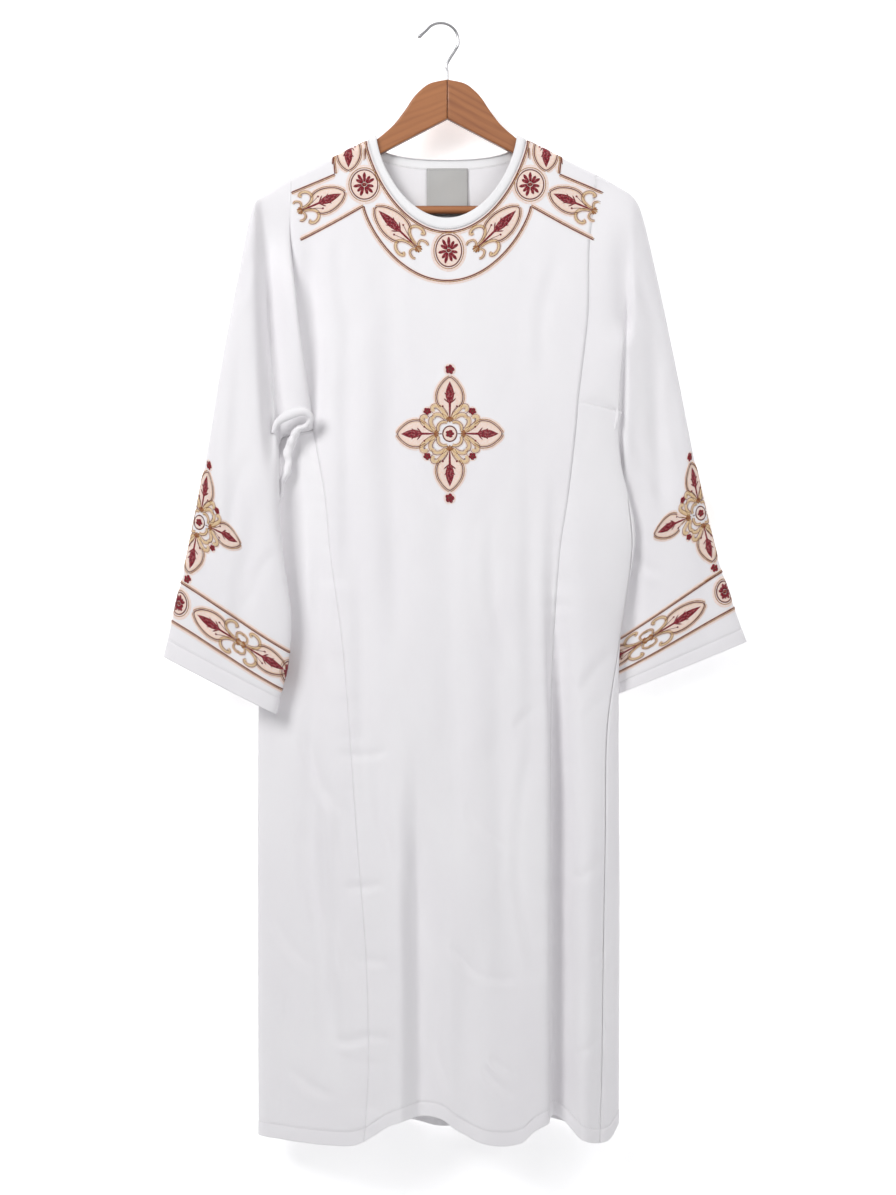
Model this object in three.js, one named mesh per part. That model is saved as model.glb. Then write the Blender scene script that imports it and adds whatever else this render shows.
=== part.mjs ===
// A white deacon's tunic hanging on a wooden hanger, every size in millimetres.
// X runs along the hanger, -Y is the front and +Z is up. The origin is inside the hook's bend,
// straight above the middle of the neck, where a rail would carry it.
import * as THREE from 'three';

const clothWall = 1.5;        // thickness of every cloth wall
const seamGap = 0.3;          // clearance between two pieces that are sewn together
const halfGap = seamGap / 2;

// ---- the body: how wide and deep the cloth hangs at each height ----
const bodyRows = [
  { z: -140, left: -330, right: 330, front: 12.5, back: 12.5 },
  { z: -380, left: -318, right: 318, front: 17, back: 14 },
  { z: -500, left: -250, right: 256, front: 22, back: 16 },
  { z: -545, left: -216, right: 234, front: 25, back: 17 },
  { z: -605, left: -222, right: 238, front: 28, back: 19 },
  { z: -645, left: -228, right: 249, front: 30, back: 20 },
  { z: -705, left: -237, right: 261, front: 33, back: 22 },
  { z: -782, left: -248, right: 251, front: 37, back: 25 },
  { z: -850, left: -256, right: 240, front: 40, back: 27 },
  { z: -951, left: -262, right: 238, front: 45, back: 31 },
  { z: -1200, left: -263, right: 239, front: 54, back: 40 },
  { z: -1540, left: -262, right: 238, front: 62, back: 50 },
];
const sectionPower = 2.5;     // how squarely the body's section turns at its side folds
const sectionRound = 0.6;     // and how full it stays up to them
const foldStart = 1.5;        // folds come in this much faster than the section does
const shoulder = { neckX: 98, neckZ: -153.4, slope: 0.49, round: 9, power: 2.4 };

// ---- seams that run down the body, front and back ----
const frontSeams = [
  { z: -150, left: -219, right: 210, side: 330 },
  { z: -215, left: -218, right: 207.5, side: 330 },
  { z: -305, left: -217, right: 197, side: 320 },
  { z: -394, left: -211, right: 195.5, side: 300 },
  { z: -450, left: -203, right: 190, side: 330 },
  { z: -523, left: -191, right: 181, side: 270 },
  { z: -560, left: -186, right: 178, side: 250 },
  { z: -652, left: -169.5, right: 167, side: 251 },
  { z: -725, left: -162.5, right: 156, side: 256 },
  { z: -858, left: -144.5, right: 147, side: 238 },
  { z: -973, left: -135, right: 143, side: 221 },
  { z: -1127, left: -124, right: 139.5, side: 218 },
  { z: -1281, left: -112, right: 136, side: 215 },
  { z: -1435, left: -108.5, right: 133, side: 213 },
  { z: -1560, left: -116, right: 130, side: 209 },
];
const backSeams = [
  { z: -150, left: -219, right: 210 },
  { z: -215, left: -218, right: 207.5 },
  { z: -305, left: -217, right: 197 },
  { z: -523, left: -190, right: 181 },
  { z: -725, left: -168, right: 165 },
  { z: -1127, left: -128, right: 140 },
  { z: -1560, left: -108, right: 128 },
];
const normalStep = { round: 0.004, height: 0.5, nearSide: 0.02 };  // how a normal is measured
const ridgeFlat = 2.3;        // so near the ridge the cloth's normal leans to neither side
const armholeEnd = -540;      // below this height the body closes into one tube
const tubeFade = 40;          // height over which the gap between front and back closes there
const armholeTop = { left: -212, right: -207, sleeve: -210 };  // about where its seam meets the ridge
const armholeCorner = 0.87;   // share of the armhole's edge from the shoulder to the gore
const sideGap = 0.0016;       // half the gap at a side seam, as a place round the body
const goreTop = { left: { seam: -560, edge: -572 }, right: { seam: -523, edge: -536 } };
const goreDrop = 0.22;        // share of the way round over which a gore's top edge drops to the fold
const gorePack = 1.6;         // how closely a gore's columns gather at the side fold

// ---- the hem: its height along the front and the back ----
const hemLevel = -1530;       // where the places along the hem are read
const frontHem = [
  { x: -262, z: -1536 }, { x: -212, z: -1538 }, { x: -162, z: -1541 }, { x: -122, z: -1539 },
  { x: -76, z: -1511 }, { x: -40, z: -1503 }, { x: -9, z: -1506 }, { x: 14, z: -1521 },
  { x: 55, z: -1539 }, { x: 102, z: -1537 }, { x: 120, z: -1518 }, { x: 141, z: -1507 },
  { x: 160, z: -1513 }, { x: 186, z: -1536 }, { x: 222, z: -1541 }, { x: 238, z: -1520 },
];
const backHem = [
  { x: -262, z: -1536 }, { x: -180, z: -1529 }, { x: -110, z: -1512 }, { x: -50, z: -1525 },
  { x: 20, z: -1531 }, { x: 90, z: -1513 }, { x: 150, z: -1522 }, { x: 205, z: -1532 },
  { x: 238, z: -1520 },
];

// ---- folds: a soft trough (depth over 0) or ridge (under 0) that runs from one height to another.
// steep is its width towards the wearer's right, gentle its width towards the left ----
const frontFolds = [
  { fromZ: -585, toZ: -1600, fromX: 147, toX: 147, depth: 52, steep: 15, gentle: 27 },
  { fromZ: -1020, toZ: -1600, fromX: -40, toX: -34, depth: 26, steep: 30, gentle: 38 },
  { fromZ: -980, toZ: -1600, fromX: -77, toX: -72, depth: -8, steep: 14, gentle: 12 },
  { fromZ: -960, toZ: -1480, fromX: -197, toX: -146, depth: 9, steep: 22, gentle: 16 },
  { fromZ: -900, toZ: -1600, fromX: 206, toX: 190, depth: -9, steep: 22, gentle: 18 },
  { fromZ: -300, toZ: -900, fromX: -112, toX: -66, depth: 5, steep: 26, gentle: 22 },
  { fromZ: -310, toZ: -880, fromX: 86, toX: 104, depth: 4, steep: 24, gentle: 28 },
];
// how fast a fold comes in from its top and goes out at its foot, and how narrow it is
const foldFade = { top: 2.2, foot: 4, narrow: 1.4 };
const pastHem = -1560;        // a fold that ends lower than this runs on through the hem
const backFolds = [
  { fromZ: -620, toZ: -1600, fromX: -122, toX: -112, depth: 36, steep: 22, gentle: 30 },
  { fromZ: -700, toZ: -1600, fromX: 96, toX: 92, depth: 40, steep: 28, gentle: 20 },
  { fromZ: -980, toZ: -1600, fromX: -22, toX: -10, depth: 20, steep: 26, gentle: 30 },
  { fromZ: -300, toZ: -900, fromX: 64, toX: 40, depth: 6, steep: 26, gentle: 26 },
];

// ---- the neck ----
const neckEdge = { x: -1, halfWidth: 97, z: -153.4, drop: 114.5, fullness: 0.66 };
const neckSeam = { x: -0.5, halfWidth: 109.5, z: -157.4, drop: 127, fullness: 0.71 };
const backNeckEdge = { x: -1, halfWidth: 97, z: -153.4, drop: 30, fullness: 0.3 };
const backNeckSeam = { x: -0.5, halfWidth: 109.5, z: -157.4, drop: 41, fullness: 0.32 };
const bindingWall = 2;
const bindingRows = [0, 0.5, 1];
const neckStations = 14;
const shoulderColumns = 4;
const ridgeRows = [0, 1.2, 3.6, 8.4];   // first rows of a panel, below the shoulder ridge
const upperRows = 10;         // rows from the ridge to the gores, and from there to the hem
const skirtRows = 16;
const goreColumns = 8;
const rowSpread = 1.05;       // rows stand a little closer together near the gores' top
const label = { width: 57, top: -196, height: 66, wall: 1 };

// ---- the sleeves: outer and inner fold of each section from the armhole (at 0) to the cuff (at 1),
// y is where the middle of the section hangs, front and back its depth ----
const rightSleeve = [
  { at: 0.00, outX: 212, outZ: -206, inX: 243, inZ: -533, y: 0, front: 12, back: 12 },
  { at: 0.07, outX: 238, outZ: -223, inX: 247, inZ: -541, y: 1, front: 19, back: 17 },
  { at: 0.13, outX: 257, outZ: -236, inX: 248, inZ: -558, y: 4, front: 22, back: 15 },
  { at: 0.20, outX: 270, outZ: -258, inX: 246, inZ: -580, y: 12, front: 24, back: 14 },
  { at: 0.35, outX: 294, outZ: -352, inX: 241, inZ: -634, y: 24, front: 26, back: 16 },
  { at: 0.50, outX: 321, outZ: -477, inX: 236, inZ: -699, y: 30, front: 22, back: 18 },
  { at: 0.65, outX: 346, outZ: -602, inX: 233, inZ: -762, y: 31, front: 20, back: 18 },
  { at: 0.80, outX: 375, outZ: -727, inX: 229, inZ: -832, y: 29, front: 19, back: 17 },
  { at: 0.90, outX: 396, outZ: -793, inX: 227, inZ: -882, y: 28, front: 18, back: 16 },
  { at: 1.00, outX: 418, outZ: -854, inX: 228, inZ: -931, y: 28, front: 17, back: 15 },
];
const leftSleeve = [
  { at: 0.00, outX: -223, outZ: -210, inX: -224, inZ: -570, y: 0, front: 12, back: 12 },
  { at: 0.07, outX: -240, outZ: -225, inX: -228, inZ: -579, y: 0, front: 19, back: 19 },
  { at: 0.13, outX: -256, outZ: -237, inX: -229, inZ: -591, y: -7, front: 20, back: 22 },
  { at: 0.20, outX: -268, outZ: -256, inX: -223, inZ: -604, y: -24, front: 18, back: 16 },
  { at: 0.35, outX: -287, outZ: -352, inX: -227, inZ: -650, y: -38, front: 17, back: 18 },
  { at: 0.50, outX: -311, outZ: -484, inX: -228, inZ: -703, y: -44, front: 18, back: 18 },
  { at: 0.65, outX: -330, outZ: -602, inX: -220, inZ: -765, y: -46, front: 19, back: 18 },
  { at: 0.80, outX: -355, outZ: -731, inX: -213, inZ: -826, y: -47, front: 20, back: 18 },
  { at: 0.90, outX: -370, outZ: -796, inX: -218, inZ: -882, y: -46, front: 21, back: 18 },
  { at: 1.00, outX: -388, outZ: -873, inX: -234, inZ: -952, y: -45, front: 22, back: 18 },
];
const sleeveSteps = [0, 0.02, 0.045, 0.08, 0.13, 0.2, 0.28, 0.37, 0.46, 0.55, 0.64, 0.73, 0.82, 0.91, 1];
const sleevePower = 3;        // how squarely a sleeve turns at its two folds
const setIn = 0.13;           // share of the sleeve over which the armhole's shape fades out
const sleeveFoldsIn = 0.2;    // and over which its own folds come in
// the left sleeve's cloth rolls forward over its armhole seam before it hangs down
const roll = { until: 0.11, over: 11, forward: 14, round: 0.7, fromShare: 0.1, toShare: 0.9 };
const sleeveFolds = {
  right: [
    { fromZ: -280, toZ: -620, fromX: 245, toX: 246, depth: 13, steep: 12, gentle: 14 },
    { fromZ: -340, toZ: -700, fromX: 280, toX: 304, depth: 5, steep: 16, gentle: 20 },
  ],
  left: [
    { fromZ: -255, toZ: -640, fromX: -253, toX: -232, depth: 11, steep: 12, gentle: 14 },
    { fromZ: -640, toZ: -900, fromX: -262, toX: -290, depth: 5, steep: 18, gentle: 18 },
  ],
};

// ---- the hanger ----
const wood = { thickness: 14, bevel: 3, bevelSteps: 2, topSteps: 26 };
const bar = { radius: 6, z: -255.3, endX: 215, sides: 20 };
const armTop = [
  { x: 0, z: -75 }, { x: 24, z: -80.5 }, { x: 39, z: -91.5 }, { x: 49, z: -103 }, { x: 56, z: -114 },
  { x: 64, z: -125 }, { x: 73, z: -136.5 }, { x: 84, z: -147 }, { x: 92, z: -153.6 }, { x: 97, z: -157.4 },
  { x: 115, z: -166.2 }, { x: 170, z: -193 }, { x: 224, z: -220 }, { x: 233, z: -227 }, { x: 236, z: -236 },
];
const armEnd = { bottomZ: -264, innerX: 215.4, innerZ: -242.7 };
const armUnder = [{ x: 200, z: -234.7 }, { x: 93, z: -178.5 }, { x: 0, z: -129.7 }];
const hook = {
  wire: 2, stemBottom: -74.6, stemTop: -52, bendX: -9.1, bendZ: -20.5, bendRadius: 24.4,
  bendFrom: -21.6, bendTo: 152.9, tipX: -40.2, tipZ: -16.6, bendSteps: 14, steps: 40, sides: 5,
};

const colours = {
  cloth: new THREE.MeshStandardMaterial({ color: 0xecebee, roughness: 0.75, metalness: 0 }),
  binding: new THREE.MeshStandardMaterial({ color: 0xf2f1f4, roughness: 0.6, metalness: 0 }),
  label: new THREE.MeshStandardMaterial({ color: 0xdcdcdc, roughness: 0.5, metalness: 0 }),
  wood: new THREE.MeshStandardMaterial({ color: 0xb0643a, roughness: 0.4, metalness: 0 }),
  steel: new THREE.MeshStandardMaterial({ color: 0xc8c8cc, roughness: 0.25, metalness: 1 }),
};

// A smooth curve through one column of a table, read at a value of another column.
function read(rows, by, column, value) {
  const down = rows[0][by] > rows[rows.length - 1][by] ? -1 : 1;
  const last = rows.length - 1;
  if ((value - rows[0][by]) * down <= 0) return rows[0][column];
  if ((value - rows[last][by]) * down >= 0) return rows[last][column];
  let i = 0;
  while ((value - rows[i + 1][by]) * down > 0) i += 1;
  const slopeAt = (k) => {
    const a = rows[Math.max(k - 1, 0)];
    const b = rows[Math.min(k + 1, last)];
    return (b[column] - a[column]) / (b[by] - a[by]);
  };
  const span = rows[i + 1][by] - rows[i][by];
  const t = (value - rows[i][by]) / span;
  const start = rows[i][column];
  const end = rows[i + 1][column];
  return start * (1 + 2 * t) * (1 - t) ** 2 + end * t * t * (3 - 2 * t)
    + span * (slopeAt(i) * t * (1 - t) ** 2 - slopeAt(i + 1) * t * t * (1 - t));
}

const mix = (a, b, t) => a + (b - a) * t;
const ease = (t) => { const s = Math.min(Math.max(t, 0), 1); return s * s * (3 - 2 * s); };
const arch = (u, power) => Math.max(1 - Math.abs(u) ** power, 0) ** (1 / power);

// How far a list of folds pushes the cloth back at a point of the front.
function foldPush(folds, x, z) {
  let push = 0;
  for (const fold of folds) {
    const down = (fold.fromZ - z) / (fold.fromZ - fold.toZ);
    if (down <= 0 || down >= 1) continue;
    const away = x - mix(fold.fromX, fold.toX, down);
    const across = Math.abs(away) / (away < 0 ? fold.steep : fold.gentle);
    const along = ease(down * foldFade.top) * (fold.toZ < pastHem ? 1 : ease((1 - down) * foldFade.foot));
    push += fold.depth * along * Math.exp(-across * across * foldFade.narrow);
  }
  return push;
}

// The height of the shoulder ridge, and how far the cloth has come off it at a height z.
const shoulderTop = (x) => shoulder.neckZ - (Math.abs(x) - shoulder.neckX) * shoulder.slope;
function offRidge(x, z) {
  const below = Math.max(shoulderTop(x) - z, 0) / shoulder.round;
  return below >= 1 ? 1 : arch(1 - below, shoulder.power);
}

// A point of the body's outer face. way is -1 in front and 1 behind.
function bodyPoint(x, z, way) {
  const left = read(bodyRows, 'z', 'left', z);
  const right = read(bodyRows, 'z', 'right', z);
  const depth = read(bodyRows, 'z', way < 0 ? 'front' : 'back', z);
  const across = Math.min(Math.max((2 * x - left - right) / (right - left), -1), 1);
  const turn = (1 - Math.abs(across) ** sectionPower) ** sectionRound;
  const push = foldPush(way < 0 ? frontFolds : backFolds, x, z) * Math.min(turn * foldStart, 1);
  const open = halfGap * ease((z - armholeEnd) / tubeFade);
  return new THREE.Vector3(x, way * (open + (depth * turn - push) * offRidge(x, z)), z);
}

// The same face by its place round the body: -1 is the left fold, 0 the middle of the front,
// 1 the right fold, and past either fold the place runs on over the back.
function ringPoint(round, z) {
  const behind = Math.abs(round) > 1;
  const across = behind ? Math.sign(round) * (2 - Math.abs(round)) : round;
  const left = read(bodyRows, 'z', 'left', z);
  const right = read(bodyRows, 'z', 'right', z);
  return bodyPoint(mix(left, right, (across + 1) / 2), z, behind ? 1 : -1);
}
function roundOf(x, z, way) {
  const left = read(bodyRows, 'z', 'left', z);
  const right = read(bodyRows, 'z', 'right', z);
  const across = Math.min(Math.max((2 * x - left - right) / (right - left), -1), 1);
  return way < 0 ? across : (across < 0 ? -1 : 1) * (2 - Math.abs(across));
}
function ringNormal(round, z) {
  const { round: aside, height, nearSide } = normalStep;
  const across = ringPoint(round + aside, z).sub(ringPoint(round - aside, z));
  const down = ringPoint(round, z - height).sub(ringPoint(round, z + height));
  const outward = Math.abs(round) > 1 ? 1 : -1;
  const normal = down.cross(across).normalize();
  return Math.abs(Math.abs(round) - 1) < nearSide
    ? normal.multiplyScalar(Math.sign(normal.x * round) || 1)
    : normal.multiplyScalar(Math.sign(normal.y * outward) || 1);
}
// A point with its normal.
function spot(round, z) {
  const point = ringPoint(round, z);
  const normal = ringNormal(round, z);
  if (Math.abs(point.y) < ridgeFlat && z > armholeEnd) normal.setY(0).normalize();
  return { point, normal };
}

// Builds a closed wall from a grid of outer points, moved in along their normals. around closes
// the grid into a tube that is open at its two ends.
function wall(grid, { around = false, thickness = clothWall, flip = false } = {}) {
  const rows = grid.length;
  const cols = grid[0].length;
  const vertices = [];
  for (const depth of [0, thickness]) {
    for (const { point, normal } of grid.flat()) {
      const moved = point.clone().addScaledVector(normal, -depth);
      vertices.push(moved.x, moved.y, moved.z);
    }
  }
  const faces = [];
  const quad = (a, b, c, d) => {
    if (flip) faces.push(a, c, b, a, d, c);
    else faces.push(a, b, c, a, c, d);
  };
  const outer = (r, c) => r * cols + (c % cols);
  const inner = (r, c) => rows * cols + r * cols + (c % cols);
  const lastCol = around ? cols : cols - 1;
  for (let r = 0; r < rows - 1; r += 1) {
    for (let c = 0; c < lastCol; c += 1) {
      quad(outer(r, c), outer(r + 1, c), outer(r + 1, c + 1), outer(r, c + 1));
      quad(inner(r, c), inner(r, c + 1), inner(r + 1, c + 1), inner(r + 1, c));
    }
  }
  for (let c = 0; c < lastCol; c += 1) {
    quad(outer(0, c), outer(0, c + 1), inner(0, c + 1), inner(0, c));
    quad(outer(rows - 1, c), inner(rows - 1, c), inner(rows - 1, c + 1), outer(rows - 1, c + 1));
  }
  if (!around) {
    for (let r = 0; r < rows - 1; r += 1) {
      quad(outer(r, 0), inner(r, 0), inner(r + 1, 0), outer(r + 1, 0));
      quad(outer(r, cols - 1), outer(r + 1, cols - 1), inner(r + 1, cols - 1), inner(r, cols - 1));
    }
  }
  const geometry = new THREE.BufferGeometry();
  geometry.setAttribute('position', new THREE.Float32BufferAttribute(vertices, 3));
  geometry.setIndex(faces);
  geometry.computeVertexNormals();
  return geometry;
}

// One station of a neckline: degrees run from -90 at the left shoulder to 90 at the right.
function neckPoint(curve, degrees, inset = 0) {
  const turn = THREE.MathUtils.degToRad(degrees);
  const x = curve.x + (curve.halfWidth - inset) * Math.sin(turn);
  const fall = (curve.drop - inset) * Math.max(Math.cos(turn), 0) ** (2 * curve.fullness);
  return { x, z: Math.min(curve.z - fall, shoulderTop(x)) };
}
const nearRidge = [-90, -89, -87.3, -84.3];
const neckTurns = [...nearRidge];
for (let k = 1; k < neckStations; k += 1) neckTurns.push(mix(-90, 90, k / neckStations));
neckTurns.push(...nearRidge.map((degrees) => -degrees).reverse());

// ---- the pieces ----

// Heights of a side seam's rows: skirt rows are shared by the panels and the gores, so that their
// edges run side by side.
const skirtRow = (top, bottom, r) => mix(top, bottom, (r / (skirtRows - 1)) ** rowSpread);
function upperRow(top, bottom, r) {
  if (r < ridgeRows.length) return top - ridgeRows[r];
  const started = top - ridgeRows[ridgeRows.length - 1];
  return mix(started, bottom, (r - ridgeRows.length + 1) / (upperRows - ridgeRows.length + 1));
}

// Front or back panel: from the shoulder ridge and the neck seam down to the hem, between its seams.
function panel(way) {
  const seams = way < 0 ? frontSeams : backSeams;
  const neck = way < 0 ? neckSeam : backNeckSeam;
  const hem = way < 0 ? frontHem : backHem;
  const leftOf = (z) => read(seams, 'z', 'left', z) + halfGap;
  const rightOf = (z) => read(seams, 'z', 'right', z) - halfGap;
  const tops = neckTurns.map((turn) => neckPoint(neck, turn));
  const shoulderTops = (from, to) => {
    const places = [];
    for (let k = 0; k < shoulderColumns; k += 1) {
      const x = mix(from, to, k / shoulderColumns);
      places.push({ x, z: shoulderTop(x) });
    }
    return places;
  };
  const lefts = shoulderTops(leftOf(armholeTop.left), tops[0].x);
  const rights = shoulderTops(rightOf(armholeTop.right), tops[tops.length - 1].x).reverse();
  const grid = [];
  for (let r = 0; r < upperRows + skirtRows; r += 1) {
    grid.push([...lefts, ...tops, ...rights].map((top, c, all) => {
      const share = (top.x - leftOf(top.z)) / (rightOf(top.z) - leftOf(top.z));
      const kept = c === 0 ? 0 : c === all.length - 1 ? 1 : share;
      const xAt = (z) => mix(leftOf(z), rightOf(z), kept);
      const level = mix(goreTop.left.seam, goreTop.right.seam, kept);
      const bottom = read(hem, 'x', 'z', xAt(hemLevel));
      const z = r < upperRows ? upperRow(top.z, level, r) : skirtRow(level, bottom, r - upperRows);
      return spot(roundOf(xAt(z), z, way), z);
    }));
  }
  return wall(grid, { flip: way > 0 });
}

// The height of a gore's top edge, which drops a little towards the side fold.
function goreTopAt(side, place) {
  const near = Math.max(1 - Math.abs(place - 1) / goreDrop, 0);
  return mix(goreTop[side].seam, goreTop[side].edge, near);
}

// Places round the body count from the front here on either side, with 1 at the side fold. The
// columns between two places gather at that fold.
function gatheredPlace(from, to, share) {
  const packed = (away) => Math.sign(away) * Math.abs(away) ** (1 / gorePack);
  const unpacked = (away) => Math.sign(away) * Math.abs(away) ** gorePack;
  return 1 + unpacked(mix(packed(from - 1), packed(to - 1), share));
}

// A gore: between two places round the body, from under the sleeve down to the hem.
function gore(side, from, to) {
  const sign = side === 'left' ? -1 : 1;
  const grid = [];
  for (let r = 0; r < skirtRows; r += 1) {
    const row = [];
    for (let c = 0; c < goreColumns; c += 1) {
      const placeAt = (z) => gatheredPlace(from(z), to(z), c / (goreColumns - 1));
      const top = goreTopAt(side, placeAt(goreTop[side].seam));
      const hemX = ringPoint(sign * placeAt(hemLevel), hemLevel).x;
      const bottom = read(placeAt(hemLevel) < 1 ? frontHem : backHem, 'x', 'z', hemX);
      const z = skirtRow(top, bottom, r);
      row.push(spot(sign * placeAt(z), z));
    }
    grid.push(row);
  }
  return wall(grid, { flip: sign < 0 });
}

// Where a seam or fold lies round the body, with a little taken off or added for the gap.
const seamPlace = (rows, column, way, gap) => (z) => {
  const x = read(rows, 'z', column, z);
  return Math.abs(roundOf(x + gap, z, way));
};
const sidePlace = (gap) => (z) => seamPlace(frontSeams, 'side', -1, 0)(z) + gap;

// The edge that a sleeve is sewn to, as stations from the shoulder ridge down one armhole seam and
// along the top of a gore to the side fold, each with its share of that way.
function armholeEdge(side, way) {
  const sign = side === 'left' ? -1 : 1;
  const seams = way < 0 ? frontSeams : backSeams;
  const seamX = (z) => read(seams, 'z', side, z) + sign * halfGap;
  const top = shoulderTop(seamX(armholeTop.sleeve));
  const corner = goreTop[side].seam;
  const startAt = (z) => Math.abs(roundOf(seamX(z), z, -1));
  const stations = [];
  for (let r = 0; r < upperRows; r += 1) {
    const z = upperRow(top, corner, r);
    const share = armholeCorner * (top - z) / (top - corner);
    stations.push({ ...spot(roundOf(seamX(z), z, way), z), share });
  }
  stations[0].point.y = 0;
  stations[0].normal.set(0, 0, 1);
  for (let c = 0; c < goreColumns; c += 1) {
    const placeAt = (z) => gatheredPlace(startAt(z), 1, c / (goreColumns - 1));
    const height = goreTopAt(side, placeAt(corner));
    const place = placeAt(height);
    const { point, normal } = spot(sign * (way < 0 ? place : 2 - place), height);
    point.z += seamGap;
    const level = Math.min(Math.abs(normal.y), 1);
    normal.set(0, way * level, -Math.sqrt(1 - level * level));
    const share = mix(armholeCorner, 1, (place - startAt(height)) / (1 - startAt(height)));
    stations.push({ point, normal, share });
  }
  return stations;
}

function sleeve(side) {
  const rows = side === 'left' ? leftSleeve : rightSleeve;
  const sign = side === 'left' ? -1 : 1;
  const front = armholeEdge(side, -1).map((station) => ({ ...station, way: -1 }));
  const back = armholeEdge(side, 1).map((station) => ({ ...station, way: 1 })).slice(1, -1).reverse();
  const edge = [...front, ...back];
  const rings = sleeveSteps.map((at) => {
    const section = Object.fromEntries(['outX', 'outZ', 'inX', 'inZ', 'y', 'front', 'back']
      .map((column) => [column, read(rows, 'at', column, at)]));
    return edge.map(({ point: sewn, share, way }) => {
      const bulge = arch(2 * share - 1, sleevePower);
      const x = mix(section.outX, section.inX, share);
      const z = mix(section.outZ, section.inZ, share);
      const push = way < 0 ? foldPush(sleeveFolds[side], x, z) * bulge * ease(at / sleeveFoldsIn) : 0;
      const depth = way < 0 ? section.front : section.back;
      const hung = new THREE.Vector3(x, section.y + way * (depth * bulge - push), z);
      const point = sewn.clone().lerp(hung, ease(at / setIn));
      if (side === 'left' && way < 0 && at < roll.until) {
        const rise = Math.sin((Math.PI * at) / roll.until) * Math.sin(Math.PI * share) ** roll.round;
        point.x += roll.over * rise;
        point.y -= roll.forward * rise;
      }
      return point;
    });
  });
  const around = edge.length;
  const grid = rings.map((ring, r) => ring.map((point, c) => {
    const { share, way, normal: sewnNormal } = edge[c];
    const rolled = side === 'left' && way < 0 && share > roll.fromShare && share < roll.toShare;
    if (r === 0 && !rolled) return { point, normal: sewnNormal };
    const across = ring[(c + 1) % around].clone().sub(ring[(c + around - 1) % around]);
    const down = rings[Math.min(r + 1, rings.length - 1)][c].clone().sub(rings[Math.max(r - 1, 0)][c]);
    return { point, normal: down.cross(across).multiplyScalar(-sign).normalize() };
  }));
  return wall(grid, { around: true, flip: sign > 0 });
}

// The binding round the neck, front or back, from the neck's edge out to its seam.
function binding(way) {
  const edge = way < 0 ? neckEdge : backNeckEdge;
  const seam = way < 0 ? neckSeam : backNeckSeam;
  const grid = bindingRows.map((share) => neckTurns.map((turn) => {
    const inside = neckPoint(edge, turn);
    const outside = neckPoint(seam, turn, seamGap);
    const x = mix(inside.x, outside.x, share);
    const z = Math.min(mix(inside.z, outside.z, share), shoulderTop(x));
    return spot(roundOf(x, z, way), z);
  }));
  return wall(grid, { thickness: bindingWall, flip: way > 0 });
}

// The blank size label, sewn inside the back of the neck.
function labelGeometry() {
  const grid = [0, 0.5, 1].map((down) => [-1, 0, 1].map((across) => {
    const x = across * label.width / 2;
    const z = label.top - down * label.height;
    const found = spot(roundOf(x, z, 1), z);
    found.point.addScaledVector(found.normal, -(bindingWall + 2 * seamGap));
    return found;
  }));
  return wall(grid, { thickness: label.wall, flip: true });
}

// One wooden half of the hanger, cut from a board and eased along its edges.
function armGeometry(sign) {
  const shape = new THREE.Shape();
  const inset = wood.bevel;
  const put = ({ x, z }) => [sign * x, z];
  const top = armTop.map(({ x, z }) => new THREE.Vector2(...put({ x: x + seamGap / 2, z })));
  shape.moveTo(...put({ x: halfGap, z: armUnder[2].z }));
  for (const point of new THREE.SplineCurve(top).getPoints(wood.topSteps)) shape.lineTo(point.x, point.y);
  shape.lineTo(...put({ x: armTop[armTop.length - 1].x, z: armEnd.bottomZ + inset }));
  shape.lineTo(...put({ x: armTop[armTop.length - 1].x - inset, z: armEnd.bottomZ }));
  shape.lineTo(...put({ x: armEnd.innerX, z: armEnd.bottomZ }));
  shape.lineTo(...put({ x: armEnd.innerX, z: armEnd.innerZ }));
  shape.lineTo(...put(armUnder[0]));
  shape.lineTo(...put(armUnder[1]));
  const geometry = new THREE.ExtrudeGeometry(shape, {
    depth: wood.thickness - 2 * inset, bevelEnabled: true, bevelThickness: inset,
    bevelSize: inset, bevelOffset: -inset, bevelSegments: wood.bevelSteps,
  });
  geometry.translate(0, 0, -wood.thickness / 2 + inset);
  geometry.rotateX(Math.PI / 2);
  return geometry;
}

function hookGeometry() {
  const places = [];
  for (const z of [hook.stemBottom, mix(hook.stemBottom, hook.stemTop, 0.5), hook.stemTop]) {
    places.push(new THREE.Vector3(0, 0, z));
  }
  for (let k = 0; k <= hook.bendSteps; k += 1) {
    const angle = THREE.MathUtils.degToRad(mix(hook.bendFrom, hook.bendTo, k / hook.bendSteps));
    places.push(new THREE.Vector3(
      hook.bendX + hook.bendRadius * Math.cos(angle), 0, hook.bendZ + hook.bendRadius * Math.sin(angle)));
  }
  places.push(new THREE.Vector3(hook.tipX, 0, hook.tipZ));
  const section = new THREE.Shape().absarc(0, 0, hook.wire, 0, 2 * Math.PI);
  return new THREE.ExtrudeGeometry(section, {
    steps: hook.steps, curveSegments: hook.sides, bevelEnabled: false,
    extrudePath: new THREE.CatmullRomCurve3(places, false, 'centripetal'),
  });
}

const group = new THREE.Group();
function add(name, geometry, material) {
  const mesh = new THREE.Mesh(geometry, material);
  mesh.name = name;
  group.add(mesh);
  return mesh;
}

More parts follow.
